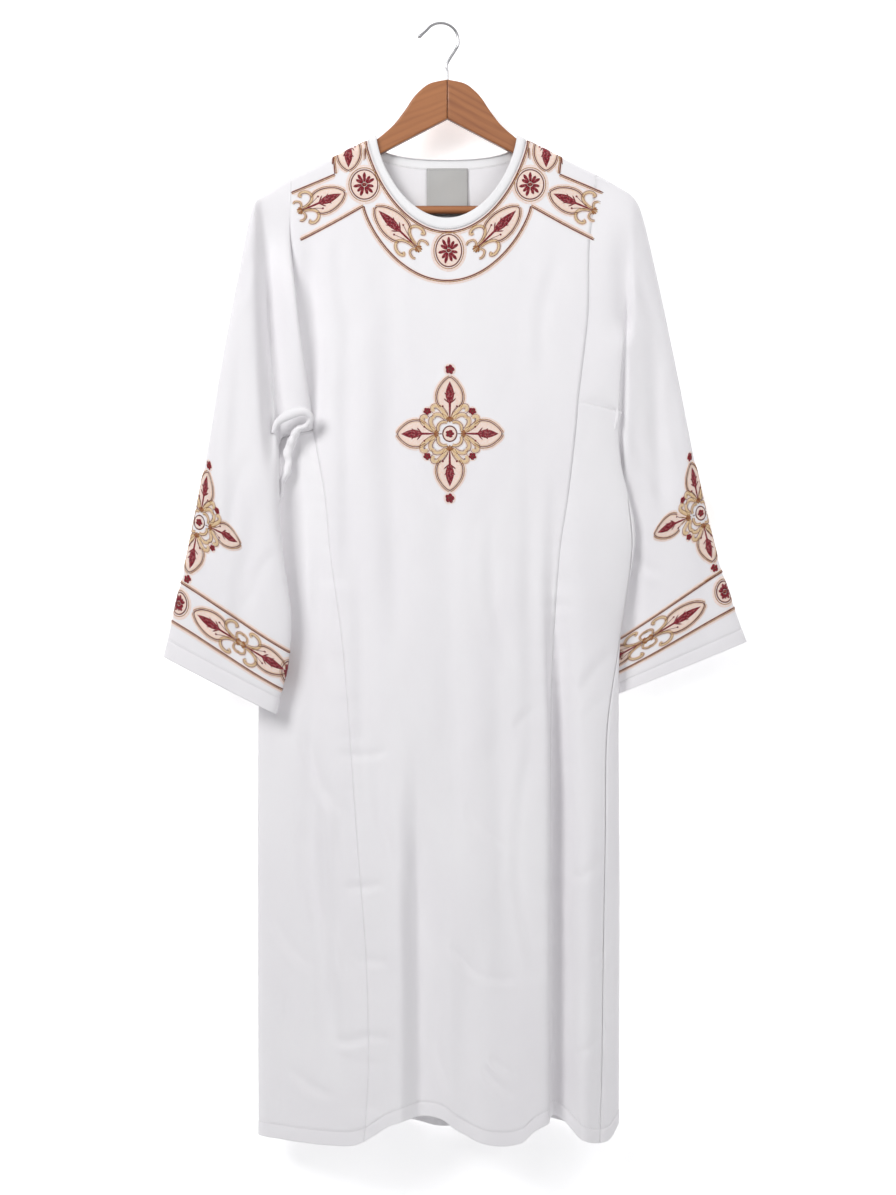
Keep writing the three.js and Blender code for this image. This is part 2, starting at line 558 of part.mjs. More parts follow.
add('front_panel', panel(-1), colours.cloth);
add('back_panel', panel(1), colours.cloth);
const goreSeams = {
  leftFront: seamPlace(frontSeams, 'left', -1, -halfGap),
  leftBack: seamPlace(backSeams, 'left', 1, -halfGap),
  rightFront: seamPlace(frontSeams, 'right', -1, halfGap),
  rightBack: seamPlace(backSeams, 'right', 1, halfGap),
};
add('gore_left_front', gore('left', goreSeams.leftFront, () => 1 - sideGap), colours.cloth);
add('gore_left_back', gore('left', () => 1 + sideGap, goreSeams.leftBack), colours.cloth);
add('gore_right_front', gore('right', goreSeams.rightFront, sidePlace(-sideGap)), colours.cloth);
add('gore_right_back', gore('right', sidePlace(sideGap), goreSeams.rightBack), colours.cloth);
add('sleeve_left', sleeve('left'), colours.cloth);
add('sleeve_right', sleeve('right'), colours.cloth);
add('neck_binding_front', binding(-1), colours.binding);
add('neck_binding_back', binding(1), colours.binding);
add('size_label', labelGeometry(), colours.label);
add('hanger_arm_left', armGeometry(-1), colours.wood);
add('hanger_arm_right', armGeometry(1), colours.wood);
const barGeometry = new THREE.CylinderGeometry(bar.radius, bar.radius, 2 * bar.endX, bar.sides);
const barMesh = add('hanger_bar', barGeometry, colours.wood);
barMesh.rotation.z = Math.PI / 2;
barMesh.position.z = bar.z;
add('hanger_hook', hookGeometry(), colours.steel);

export default group;
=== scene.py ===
import math

import bpy
import numpy as np
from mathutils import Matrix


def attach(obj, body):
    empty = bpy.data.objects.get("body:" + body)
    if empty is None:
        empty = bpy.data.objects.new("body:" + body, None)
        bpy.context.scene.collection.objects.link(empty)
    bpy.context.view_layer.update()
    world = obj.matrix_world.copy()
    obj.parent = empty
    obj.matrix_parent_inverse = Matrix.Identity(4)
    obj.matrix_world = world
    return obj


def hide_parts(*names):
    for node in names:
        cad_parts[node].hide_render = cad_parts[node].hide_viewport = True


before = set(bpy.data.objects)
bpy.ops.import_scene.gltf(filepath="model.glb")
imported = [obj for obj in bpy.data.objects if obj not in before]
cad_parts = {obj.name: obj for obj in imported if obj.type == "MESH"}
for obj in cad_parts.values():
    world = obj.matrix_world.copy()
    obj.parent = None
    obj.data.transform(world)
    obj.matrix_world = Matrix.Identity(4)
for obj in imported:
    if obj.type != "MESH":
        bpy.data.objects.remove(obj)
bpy.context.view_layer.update()        # the hanger and the tunic's plain solids
mm = 0.001
front, back = -1, 1      # which way a face of the tunic looks along Y
print("frame loaded")


# small helpers

def mix(a, b, t):
    return a + (b - a) * t


def unit(vectors):
    return vectors / np.maximum(np.linalg.norm(vectors, axis=-1, keepdims=True), 1e-9)


# the distance from a path's start to each of its points
def wayAlong(path):
    return np.concatenate([[0], np.cumsum(np.linalg.norm(np.diff(path, axis=0), axis=1))])


# the corners of each face of a grid as rows and columns, going down first
def gridCorners(rows, cols):
    r, c = np.meshgrid(np.arange(rows - 1), np.arange(cols - 1), indexing="ij")
    return [(r, c), (r + 1, c), (r + 1, c + 1), (r, c + 1)]


def ease(t):
    t = np.clip(t, 0, 1)
    return t * t * (3 - 2 * t)


def arch(u, power):
    return np.maximum(1 - np.abs(u) ** power, 0) ** (1 / power)


# a smooth curve through one column of a table, read at values of another column
def follow(table, by, column, value):
    keys, found = np.array(table[by], float), np.array(table[column], float)
    if keys[0] > keys[-1]:
        keys, found = keys[::-1], found[::-1]
    before, after = np.r_[0, np.arange(len(keys) - 1)], np.r_[np.arange(1, len(keys)), len(keys) - 1]
    slopes = (found[after] - found[before]) / (keys[after] - keys[before])
    value = np.clip(value, keys[0], keys[-1])
    i = np.clip(np.searchsorted(keys, value) - 1, 0, len(keys) - 2)
    span = keys[i + 1] - keys[i]
    t = (value - keys[i]) / span
    return (found[i] * (1 + 2 * t) * (1 - t) ** 2 + found[i + 1] * t * t * (3 - 2 * t)
            + span * (slopes[i] * t * (1 - t) ** 2 - slopes[i + 1] * t * t * (1 - t)))


# smooth unevenness from -1 to 1, the same on every run
def softNoise(u, v, seed):
    def corner(i, j):
        wave = np.sin(i * 127.1 + j * 311.7 + seed * 74.7) * 43758.5453
        return wave - np.floor(wave)
    i, j = np.floor(u), np.floor(v)
    s, t = ease(u - i), ease(v - j)
    low = mix(corner(i, j), corner(i + 1, j), s)
    high = mix(corner(i, j + 1), corner(i + 1, j + 1), s)
    return 2 * mix(low, high, t) - 1


# several sizes of unevenness: height, width, length and seed of each
def ripple(x, z, waves, way=0):
    return sum(high * softNoise(x / wide, z / tall, seed + way) for high, wide, tall, seed in waves)


def addObject(name, data):
    thing = bpy.data.objects.new(name, data)
    bpy.context.scene.collection.objects.link(thing)
    return thing


# shader groups

def plug(tree, value, socket):
    if isinstance(value, bpy.types.NodeSocket):
        tree.links.new(value, socket)
    else:
        socket.default_value = value


def plugAll(tree, sockets, values):
    for label, value in values.items():
        plug(tree, value, sockets[label])


def calc(tree, operation, *values, clamp=False):
    node = tree.nodes.new("ShaderNodeMath")
    node.operation = operation
    node.use_clamp = clamp
    for socket, value in zip(node.inputs, values):
        plug(tree, value, socket)
    return node.outputs[0]


def blendColours(tree, factor, first, second):
    node = tree.nodes.new("ShaderNodeMix")
    node.data_type = "RGBA"
    plugAll(tree, node.inputs, {0: factor, 6: first, 7: second})
    return node.outputs[2]


def noiseMap(tree, vector, scale, detail=2.0, roughness=0.5):
    node = tree.nodes.new("ShaderNodeTexNoise")
    plugAll(tree, node.inputs, {"Vector": vector, "Scale": scale, "Detail": detail, "Roughness": roughness})
    return node.outputs["Fac"]


def stretched(tree, vector, scale, turn=(0, 0, 0)):
    node = tree.nodes.new("ShaderNodeMapping")
    plugAll(tree, node.inputs, {"Vector": vector, "Scale": scale, "Rotation": turn})
    return node.outputs["Vector"]


def splitVector(tree, vector):
    node = tree.nodes.new("ShaderNodeSeparateXYZ")
    plug(tree, vector, node.inputs[0])
    return node.outputs


def objectPlace(tree):
    return tree.nodes.new("ShaderNodeTexCoord").outputs["Object"]


def newGroup(name, inputs, outputs):
    tree = bpy.data.node_groups.new(name, "ShaderNodeTree")
    kinds = {"vector": "NodeSocketVector", "color": "NodeSocketColor", "value": "NodeSocketFloat"}
    for label, kind, start in inputs:
        socket = tree.interface.new_socket(name=label, in_out="INPUT", socket_type=kinds[kind])
        if start is not None:
            socket.default_value = start
    for label, kind in outputs:
        tree.interface.new_socket(name=label, in_out="OUTPUT", socket_type=kinds[kind])
    return tree, tree.nodes.new("NodeGroupInput").outputs, tree.nodes.new("NodeGroupOutput").inputs


# threads crossing over and under each other, with slubs
def makePlainWeave():
    tree, given, result = newGroup(
        "plainWeave",
        [("Vector", "vector", None), ("Spacing", "value", 0.0005), ("Slub", "value", 0.4)],
        [("Height", "value"), ("Tone", "value")])
    parts = splitVector(tree, given["Vector"])
    waves = []
    for axis in (0, 1):
        turns = calc(tree, "DIVIDE", parts[axis], given["Spacing"])
        waves.append(calc(tree, "SINE", calc(tree, "MULTIPLY", turns, 2 * math.pi)))
    crossing = calc(tree, "MULTIPLY_ADD", calc(tree, "MULTIPLY", *waves), 0.5, 0.5)
    along = noiseMap(tree, stretched(tree, given["Vector"], (90, 900, 1)), 1.0, 2)
    across = noiseMap(tree, stretched(tree, given["Vector"], (900, 90, 1)), 1.0, 2)
    slub = calc(tree, "ADD", along, across)
    plug(tree, calc(tree, "MULTIPLY_ADD", slub, given["Slub"], crossing), result["Height"])
    plug(tree, calc(tree, "MULTIPLY", slub, 0.5), result["Tone"])
    return tree


# soft cloudy change between two colours
def makeClothTone():
    tree, given, result = newGroup(
        "clothTone",
        [("Vector", "vector", None), ("Color", "color", None), ("Shade", "color", None),
         ("Scale", "value", 4.0), ("Weave", "value", 0.5)],
        [("Color", "color")])
    cloud = noiseMap(tree, given["Vector"], given["Scale"], 3, 0.55)
    both = calc(tree, "ADD", calc(tree, "MULTIPLY", cloud, 0.7), calc(tree, "MULTIPLY", given["Weave"], 0.3))
    factor = calc(tree, "MULTIPLY_ADD", both, 2.4, -0.7, clamp=True)
    plug(tree, blendColours(tree, factor, given["Shade"], given["Color"]), result["Color"])
    return tree


# a row of stitches: X of the vector runs along it and Y is the distance from the edge
def makeStitchRow():
    tree, given, result = newGroup(
        "stitchRow",
        [("Vector", "vector", None), ("Distance", "value", 0.02), ("Length", "value", 0.0026),
         ("Width", "value", 0.0007)],
        [("Height", "value"), ("HoleShade", "value")])
    parts = splitVector(tree, given["Vector"])
    away = calc(tree, "ABSOLUTE", calc(tree, "SUBTRACT", parts[1], given["Distance"]))
    line = calc(tree, "SUBTRACT", 1.0, calc(tree, "DIVIDE", away, given["Width"]), clamp=True)
    wide = calc(tree, "MULTIPLY", given["Width"], 3.2)
    groove = calc(tree, "SUBTRACT", 1.0, calc(tree, "DIVIDE", away, wide), clamp=True)
    step = calc(tree, "FRACT", calc(tree, "DIVIDE", parts[0], given["Length"]))
    middle = calc(tree, "ABSOLUTE", calc(tree, "SUBTRACT", step, 0.5))
    thread = calc(tree, "MULTIPLY_ADD", middle, -5.0, 2.1, clamp=True)
    sewn = calc(tree, "MULTIPLY", line, thread)
    plug(tree, calc(tree, "SUBTRACT", calc(tree, "MULTIPLY", sewn, 1.1), groove), result["Height"])
    # the second output marks the needle holes between stitches, which get painted shade
    plug(tree, calc(tree, "MULTIPLY", line, calc(tree, "SUBTRACT", 1.0, thread)), result["HoleShade"])
    return tree


# embroidery thread laid side by side: X of the vector runs along the stitched shape
def makeSatinThread():
    tree, given, result = newGroup(
        "satinThread",
        [("Vector", "vector", None), ("Thread", "value", 0.0006), ("Color", "color", None),
         ("Shade", "color", None), ("Mottle", "value", 0.5), ("Highlight", "color", None),
         ("Flecks", "value", 0.2)],
        [("Color", "color"), ("Height", "value"), ("Roughness", "value")])
    parts = splitVector(tree, given["Vector"])
    lean = calc(tree, "MULTIPLY_ADD", parts[1], 0.35, parts[0])
    turns = calc(tree, "MULTIPLY", calc(tree, "DIVIDE", lean, given["Thread"]), 2 * math.pi)
    rib = calc(tree, "MULTIPLY_ADD", calc(tree, "SINE", turns), 0.5, 0.5)
    patch = noiseMap(tree, stretched(tree, given["Vector"], (520, 260, 1)), 1.0, 2)
    spread = calc(tree, "MULTIPLY_ADD", patch, 3.0, -1.0, clamp=True)
    dark = calc(tree, "MULTIPLY", calc(tree, "SUBTRACT", 1.0, spread), given["Mottle"])
    shaded = calc(tree, "MULTIPLY_ADD", calc(tree, "SUBTRACT", 1.0, rib), 0.35, dark, clamp=True)
    # small light specks blended into the thread colour are painted highlights
    spots = tree.nodes.new("ShaderNodeTexVoronoi")
    plugAll(tree, spots.inputs, {"Vector": given["Vector"], "Scale": 460.0})
    speck = calc(tree, "MULTIPLY_ADD", spots.outputs["Distance"], -4.0, 1.9, clamp=True)
    base = blendColours(tree, shaded, given["Color"], given["Shade"])
    highlighted = blendColours(tree, calc(tree, "MULTIPLY", speck, given["Flecks"]), base, given["Highlight"])
    rough = calc(tree, "MULTIPLY_ADD", patch, 0.25, 0.3)
    plugAll(tree, result, {"Color": highlighted, "Height": rib, "Roughness": rough})
    return tree


# straight fine grain with broad darker streaks, along X of the vector
def makeWoodGrain():
    tree, given, result = newGroup(
        "woodGrain",
        [("Vector", "vector", None), ("Light", "color", None), ("Dark", "color", None),
         ("Streak", "value", 0.5)],
        [("Color", "color"), ("Height", "value"), ("Roughness", "value")])
    broad = noiseMap(tree, stretched(tree, given["Vector"], (7, 60, 60)), 1.0, 3, 0.6)
    fine = noiseMap(tree, stretched(tree, given["Vector"], (40, 700, 700)), 1.0, 3, 0.6)
    rings = tree.nodes.new("ShaderNodeTexWave")
    rings.wave_type = "BANDS"
    rings.bands_direction = "Z"
    plugAll(tree, rings.inputs, {"Vector": stretched(tree, given["Vector"], (1.2, 10, 10)), "Scale": 3.2,
                                 "Distortion": 5.5, "Detail": 2.0, "Detail Scale": 1.4})
    ringLine = calc(tree, "POWER", rings.outputs["Fac"], 2.2)
    streaks = calc(tree, "MULTIPLY_ADD", broad, 1.9, -0.6, clamp=True)
    dark = calc(tree, "ADD", calc(tree, "MULTIPLY", streaks, 0.5), calc(tree, "MULTIPLY", ringLine, 0.25))
    dark = calc(tree, "MULTIPLY_ADD", fine, 0.35, calc(tree, "SUBTRACT", dark, 0.17))
    factor = calc(tree, "MULTIPLY", dark, calc(tree, "MULTIPLY", given["Streak"], 2.0), clamp=True)
    plug(tree, blendColours(tree, factor, given["Light"], given["Dark"]), result["Color"])
    plug(tree, calc(tree, "ADD", fine, calc(tree, "MULTIPLY", ringLine, 0.3)), result["Height"])
    plug(tree, calc(tree, "MULTIPLY_ADD", fine, 0.2, 0.3), result["Roughness"])
    return tree


plainWeave = makePlainWeave()
clothTone = makeClothTone()
stitchRow = makeStitchRow()
satinThread = makeSatinThread()
woodGrain = makeWoodGrain()


def placeGroup(tree, group, **values):
    node = tree.nodes.new("ShaderNodeGroup")
    node.node_tree = group
    plugAll(tree, node.inputs, values)
    return node.outputs


def newMaterial(name):
    material = bpy.data.materials.new(name)
    material.use_nodes = True
    tree = material.node_tree
    return material, tree, tree.nodes["Principled BSDF"]


def uvMap(tree, name):
    node = tree.nodes.new("ShaderNodeUVMap")
    node.uv_map = name
    return node.outputs["UV"]


def bump(tree, shader, height, distance, strength=1.0, below=None):
    node = tree.nodes.new("ShaderNodeBump")
    plugAll(tree, node.inputs, {"Height": height, "Distance": distance, "Strength": strength})
    if below is not None:
        tree.links.new(below, node.inputs["Normal"])
    tree.links.new(node.outputs["Normal"], shader.inputs["Normal"])
    return node.outputs["Normal"]


# the last colour of each cloth finish is painted shade for the stitch holes
clothFinish = {
    "color": (0.905, 0.893, 0.906, 1), "shade": (0.862, 0.842, 0.866, 1), "holeShade": (0.68, 0.67, 0.69, 1),
    "spacing": 0.00055, "roughness": 0.72, "sheen": 0.25,
}


def makeCloth(name, finish, rows):
    material, tree, shader = newMaterial(name)
    weave = placeGroup(tree, plainWeave, Vector=uvMap(tree, "cloth"), Spacing=finish["spacing"])
    tone = placeGroup(tree, clothTone, Vector=uvMap(tree, "cloth"), Color=finish["color"],
                      Shade=finish["shade"], Weave=weave["Tone"])
    colour = tone["Color"]
    normal = bump(tree, shader, weave["Height"], 0.00008, 0.7)
    for distance in rows:
        sewn = placeGroup(tree, stitchRow, Vector=uvMap(tree, "edge"), Distance=distance)
        # painted shade in the stitch holes
        colour = blendColours(tree, calc(tree, "MULTIPLY", sewn["HoleShade"], 0.7), colour, finish["holeShade"])
        normal = bump(tree, shader, sewn["Height"], 0.0005, 1.0, below=normal)
    plugAll(tree, shader.inputs, {"Base Color": colour, "Roughness": finish["roughness"],
                                  "Sheen Weight": finish["sheen"], "Sheen Roughness": 0.5,
                                  "Specular IOR Level": 0.35})
    return material


whiteCloth = makeCloth("whiteCloth", clothFinish, [0.0195])
bindingCloth = makeCloth("bindingCloth", {
    "color": (0.92, 0.915, 0.92, 1), "shade": (0.88, 0.873, 0.885, 1), "holeShade": (0.6, 0.59, 0.6, 1),
    "spacing": 0.0005, "roughness": 0.65, "sheen": 0.2}, [0.0013])


# the lighter last colour of each thread is a painted highlight, set in small specks
threadFinish = {
    "gold": {"color": (0.56, 0.31, 0.11, 1), "shade": (0.29, 0.11, 0.04, 1), "mottle": 0.7,
             "highlight": (0.86, 0.66, 0.40, 1), "flecks": 0.35},
    "brown": {"color": (0.24, 0.06, 0.035, 1), "shade": (0.08, 0.014, 0.014, 1), "mottle": 0.6,
              "highlight": (0.45, 0.24, 0.14, 1), "flecks": 0.3},
    "red": {"color": (0.38, 0.012, 0.03, 1), "shade": (0.09, 0.003, 0.01, 1), "mottle": 0.9,
            "highlight": (0.68, 0.27, 0.26, 1), "flecks": 0.45},
    "cream": {"color": (0.85, 0.66, 0.41, 1), "shade": (0.70, 0.45, 0.23, 1), "mottle": 0.5,
              "highlight": (0.92, 0.82, 0.64, 1), "flecks": 0.4},
    "blush": {"color": (0.93, 0.79, 0.72, 1), "shade": (0.92, 0.66, 0.54, 1), "mottle": 0.6,
              "highlight": (0.93, 0.87, 0.83, 1), "flecks": 0.5},
    "halo": {"color": (0.91, 0.80, 0.76, 1), "shade": (0.90, 0.68, 0.59, 1), "mottle": 0.6,
             "highlight": (0.92, 0.88, 0.88, 1), "flecks": 0.5},
}
threadNames = list(threadFinish)


def makeThread(name, finish):
    material, tree, shader = newMaterial(name + "Thread")
    values = {label.capitalize(): value for label, value in finish.items()}
    satin = placeGroup(tree, satinThread, Vector=uvMap(tree, "cloth"), **values)
    bump(tree, shader, satin["Height"], 0.00015, 0.8)
    plugAll(tree, shader.inputs, {"Base Color": satin["Color"], "Roughness": satin["Roughness"],
                                  "Specular IOR Level": 0.3, "Anisotropic": 0.4})
    return material


threads = {name: makeThread(name, finish) for name, finish in threadFinish.items()}
print("cloth and thread materials made")


# the cloth's shape, the same on the panels, gores, binding and yoke

bodyShape = {
    "z": [-140, -380, -500, -545, -605, -645, -705, -782, -850, -951, -1200, -1540],
    "left": [-330, -318, -256, -236, -237, -238, -242, -249, -256, -262, -263, -262],
    "right": [330, 318, 258, 239, 241, 250, 261, 251, 240, 238, 239, 238],
    "front": [12.5, 17, 22, 25, 28, 30, 33, 37, 40, 45, 54, 62],
    "back": [12.5, 14, 16, 17, 19, 20, 22, 25, 27, 31, 40, 50],
    "power": 2.5, "seamGap": 0.02, "armholeEnd": -540,
    "neckX": 98, "neckZ": -153.4, "slope": 0.49, "round": 9, "ridgePower": 2.4,
}
frontSeams = {
    "z": [-150, -215, -305, -394, -450, -523, -560, -652, -725, -858, -973, -1127, -1281, -1435, -1560],
    "left": [-219, -218, -217, -211, -203, -191, -186, -169.5, -162.5, -144.5, -135, -124, -112, -108.5,
             -116],
    "right": [210, 207.5, 197, 195.5, 190, 181, 178, 167, 156, 147, 143, 139.5, 136, 133, 130],
    "side": [330, 330, 320, 300, 330, 270, 250, 251, 256, 238, 221, 218, 215, 213, 209],
}
backSeams = {
    "z": [-150, -215, -305, -523, -725, -1127, -1560],
    "left": [-219, -218, -217, -190, -168, -128, -108],
    "right": [210, 207.5, 197, 181, 165, 140, 128],
}
frontHem = {
    "x": [-262, -212, -162, -122, -76, -40, -9, 14, 55, 102, 120, 141, 160, 186, 222, 238],
    "z": [-1536, -1538, -1541, -1539, -1511, -1503, -1506, -1521, -1539, -1537, -1518, -1507, -1513, -1536,
          -1541, -1520],
}
backHem = {
    "x": [-262, -180, -110, -50, 20, 90, 150, 205, 238],
    "z": [-1536, -1529, -1512, -1525, -1531, -1513, -1522, -1532, -1520],
}
goreTop = {"left": {"seam": -560, "edge": -572}, "right": {"seam": -523, "edge": -536}}

# long folds: fromZ, toZ, fromX, toX, depth, width to the left, width to the right
frontFolds = [
    (-585, -1600, 147, 147, 36, 14, 26),
    (-960, -1600, -41, -36, 20, 16, 40),
    (-960, -1600, -68, -63, -6, 14, 12),
    (-960, -1480, -197, -146, 11, 20, 15),
    (-900, -1600, 206, 190, -10, 22, 18),
    (-300, -900, -84, -66, 9, 24, 20),
    (-540, -1080, 112, 118, 6, 18, 20),
    # softer ones, only in the cloth itself
    (-230, -640, -190, -186, 9, 14, 20),
    (-330, -820, -138, -138, 5, 13, 17),
    (-420, -1250, -6, 12, 4.0, 24, 18),
    (-640, -1420, 62, 84, 5.0, 22, 30),
    (-560, -1100, -128, -112, 4.4, 13, 20),
    (-700, -1180, -178, -186, 5.0, 14, 20),
    (-1180, -1600, 28, 22, 6.0, 20, 24),
    (-1240, -1600, -226, -232, 5.0, 14, 12),
]
backFolds = [
    (-620, -1600, -122, -112, 36, 22, 30),
    (-700, -1600, 96, 92, 40, 28, 20),
    (-980, -1600, -22, -10, 20, 26, 30),
    (-300, -900, 64, 40, 6, 26, 26),
    (-280, -820, -88, -74, 4, 24, 30),
    (-520, -1300, 20, 36, 3.5, 26, 20),
    (-900, -1600, 168, 176, 5, 18, 24),
    (-860, -1600, -190, -196, 4, 20, 18),
]
# short creases: from x, z to x, z, depth, width; the cloth stands up a little beside each
frontCreases = [
    (-197, -984, -146, -1088, 3.0, 8), (-146, -1088, -126, -1330, 5.0, 8), (-150, -1400, -110, -1393, 4.0, 6),
    (-140, -1007, -84, -1004, 1.6, 6), (-130, -1188, -90, -1182, 1.7, 6), (-120, -1286, -82, -1290, 1.8, 5),
    (-118, -1388, -80, -1394, 1.9, 5), (120, -943, 94, -973, 1.4, 6), (8, -1270, 48, -1311, 2.2, 6),
    (48, -1311, 94, -1314, 2.0, 5), (50, -1435, 90, -1474, 2.6, 6), (60, -1420, 92, -1444, 1.8, 5),
    (236, -862, 184, -922, 2.0, 8), (222, -930, 186, -960, 1.0, 6), (-60, -540, -26, -660, 1.6, 10),
    (-176, -740, -150, -900, 2.0, 9), (26, -1080, 84, -1136, 1.5, 7), (176, -1180, 214, -1150, 2.4, 7),
    (-240, -1230, -186, -1300, 2.2, 7), (-214, -1440, -160, -1474, 2.4, 7), (178, -1420, 214, -1390, 2.2, 6),
    (-96, -980, -60, -1180, 1.8, 8), (110, -1010, 120, -1300, 1.8, 8), (196, -1290, 224, -1262, 2.0, 6),
    (-200, -1110, -176, -1230, 2.2, 8), (-16, -1330, 6, -1470, 1.8, 8), (-226, -1330, -204, -1420, 2.0, 7),
    (-150, -300, -128, -430, 1.8, 10), (150, -330, 132, -470, 1.6, 10), (60, -700, 96, -900, 1.6, 10),
]
backCreases = [
    (-150, -980, -90, -1010, 2.6, 8), (40, -1190, 84, -1222, 2.6, 8), (-60, -1320, -14, -1346, 2.4, 7),
    (130, -900, 190, -860, 3.0, 10), (-206, -800, -150, -870, 2.8, 10), (10, -700, 60, -760, 1.8, 11),
    (150, -1400, 206, -1380, 2.4, 8), (-200, -1380, -140, -1410, 2.4, 8),
]
sleeveFolds = {
    "right": [(-256, -450, 247, 244, 23, 9, 10), (-380, -680, 244, 236, 12, 6, 8),
              (-340, -700, 280, 304, 6, 16, 20), (-420, -840, 330, 368, 2.6, 14, 20),
              (-640, -900, 250, 262, 3.4, 14, 16)],
    "left": [(-232, -640, -257, -238, 22, 10, 10), (-640, -900, -262, -290, 6, 18, 18),
             (-330, -760, -276, -300, 3.2, 12, 16), (-600, -900, -330, -348, 2.4, 14, 16)],
}
sleeveCreases = {
    "right": [(262, -330, 296, -420, 2.0, 9), (256, -560, 300, -640, 1.6, 9), (290, -640, 350, -690, 1.6, 10),
              (240, -720, 300, -760, 1.8, 8), (316, -480, 330, -600, 1.6, 9), (250, -830, 300, -850, 1.6, 7)],
    "left": [(-300, -400, -272, -330, 1.8, 9), (-270, -600, -292, -700, 1.6, 9),
             (-236, -730, -270, -800, 1.8, 8), (-330, -680, -300, -760, 1.5, 9),
             (-306, -500, -318, -620, 1.6, 9), (-350, -800, -300, -850, 1.6, 7)],
}


def foldPush(folds, x, z):
    push = np.zeros(np.broadcast(x, z).shape)
    for fromZ, toZ, fromX, toX, depth, steep, gentle in folds:
        down = (fromZ - z) / (fromZ - toZ)
        away = x - mix(fromX, toX, down)
        across = np.abs(away) / np.where(away < 0, steep, gentle)
        along = ease(down * 2.2) * (1 if toZ < -1560 else ease((1 - down) * 4))
        push += np.where((down > 0) & (down < 1), depth * along * np.exp(-across * across * 1.4), 0)
    return push


def creasePush(creases, x, z):
    push = np.zeros(np.broadcast(x, z).shape)
    for x1, z1, x2, z2, depth, width in creases:
        length = math.hypot(x2 - x1, z2 - z1)
        alongX, alongZ = (x2 - x1) / length, (z2 - z1) / length
        along = ((x - x1) * alongX + (z - z1) * alongZ) / length
        bend = 0.06 * length * np.sin(np.clip(along, 0, 1) * math.pi)
        away = (x - x1) * alongZ - (z - z1) * alongX - bend
        fade = ease((along + 0.12) * 4) * ease((1.12 - along) * 4)
        beside = 0.55 * np.exp(-((away - 1.7 * width) / width) ** 2)
        push += depth * fade * (np.exp(-(away / width) ** 2) - beside)
    return push


def shoulderTop(x):
    return bodyShape["neckZ"] - (np.abs(x) - bodyShape["neckX"]) * bodyShape["slope"]


def offRidge(x, z):
    below = np.maximum(shoulderTop(x) - z, 0) / bodyShape["round"]
    return np.where(below >= 1, 1, arch(1 - np.minimum(below, 1), bodyShape["ridgePower"]))


bodyRipples = [(1.3, 46, 120, 3), (0.6, 19, 44, 7)]
puckers = {"depth": 2.4, "reach": 22, "spacing": 24, "strength": 0.45, "fromZ": -560, "fadeOver": 200}


# small waves of cloth beside a seam that draws it up
def pucker(away, z, seed):
    wave = softNoise(z / puckers["spacing"] * 2, away * 0 + seed, seed)
    return puckers["depth"] * wave * np.exp(-(away / puckers["reach"]) ** 2)


# the edge of the deep front fold leans over it
lip = {"over": 10, "width": 10, "left": 19, "fromZ": -760, "fadeOver": 260}


# a point of the body's outer face
def bodySurface(x, z, way):
    x, z = np.broadcast_arrays(np.asarray(x, float), np.asarray(z, float))
    left, right = follow(bodyShape, "z", "left", z), follow(bodyShape, "z", "right", z)
    depth = follow(bodyShape, "z", "front" if way < 0 else "back", z)
    across = np.clip((2 * x - left - right) / (right - left), -1, 1)
    turn = (1 - np.abs(across) ** bodyShape["power"]) ** 0.6
    flat = np.minimum(turn * 1.5, 1)
    push = foldPush(frontFolds if way < 0 else backFolds, x, z) + creasePush(
        frontCreases if way < 0 else backCreases, x, z)
    waves = ripple(x, z, bodyRipples, way)
    low = puckers["strength"] * ease((puckers["fromZ"] - z) / puckers["fadeOver"])
    sides = frontSeams if way < 0 else backSeams
    for side in ("left", "right"):
        waves = waves + low * pucker(x - follow(sides, "z", side, z), z, 5 + len(side) + way)
    waves = waves * ease((shoulderTop(x) - z) / 40)
    gap = bodyShape["seamGap"] / 2 * ease((z - bodyShape["armholeEnd"]) / 40)
    y = way * (gap + (depth * turn + (waves - push) * flat) * offRidge(x, z))
    shift = 0
    if way < 0:
        away = (x - frontFolds[0][2] + lip["left"]) / lip["width"]
        shift = lip["over"] * ease((lip["fromZ"] - z) / lip["fadeOver"]) * np.exp(-away ** 2)
    return np.stack([x + shift, y, z], -1)


# the same face by its place round the body: -1 is the left fold, 1 the right one, past them the back
def ringSurface(place, z):
    place, z = np.broadcast_arrays(np.asarray(place, float), np.asarray(z, float))
    behind = np.abs(place) > 1
    across = np.where(behind, np.sign(place) * (2 - np.abs(place)), place)
    x = mix(follow(bodyShape, "z", "left", z), follow(bodyShape, "z", "right", z), (across + 1) / 2)
    return np.where(behind[..., None], bodySurface(x, z, back), bodySurface(x, z, front))


def placeRound(x, z, way):
    left, right = follow(bodyShape, "z", "left", z), follow(bodyShape, "z", "right", z)
    across = np.clip((2 * x - left - right) / (right - left), -1, 1)
    return across if way < 0 else np.where(across < 0, -1, 1) * (2 - np.abs(across))


# normals of a grid of points, looking the way that the grid's faces do
def gridNormals(points, closed=False, flip=False):
    if closed:
        across = np.roll(points, -1, 1) - np.roll(points, 1, 1)
    else:
        across = np.gradient(points, axis=1)
    down = np.gradient(points, axis=0)
    return unit(np.cross(down, across) * (-1 if flip else 1))


def meshObject(name, points, faces, materials, faceMaterial=None, uvs=None):
    mesh = bpy.data.meshes.new(name)
    mesh.from_pydata((np.asarray(points).reshape(-1, 3) * mm).tolist(), [], faces.tolist())
    mesh.polygons.foreach_set("use_smooth", np.ones(len(mesh.polygons), bool))
    for material in materials:
        mesh.materials.append(material)
    if faceMaterial is not None:
        mesh.polygons.foreach_set("material_index", np.asarray(faceMaterial, np.int32))
    for uvName, values in (uvs or {}).items():
        layer = mesh.uv_layers.new(name=uvName)
        layer.data.foreach_set("uv", np.asarray(values, np.float32).reshape(-1))
    mesh.update()
    piece = addObject(name, mesh)
    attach(piece, "root")
    return piece


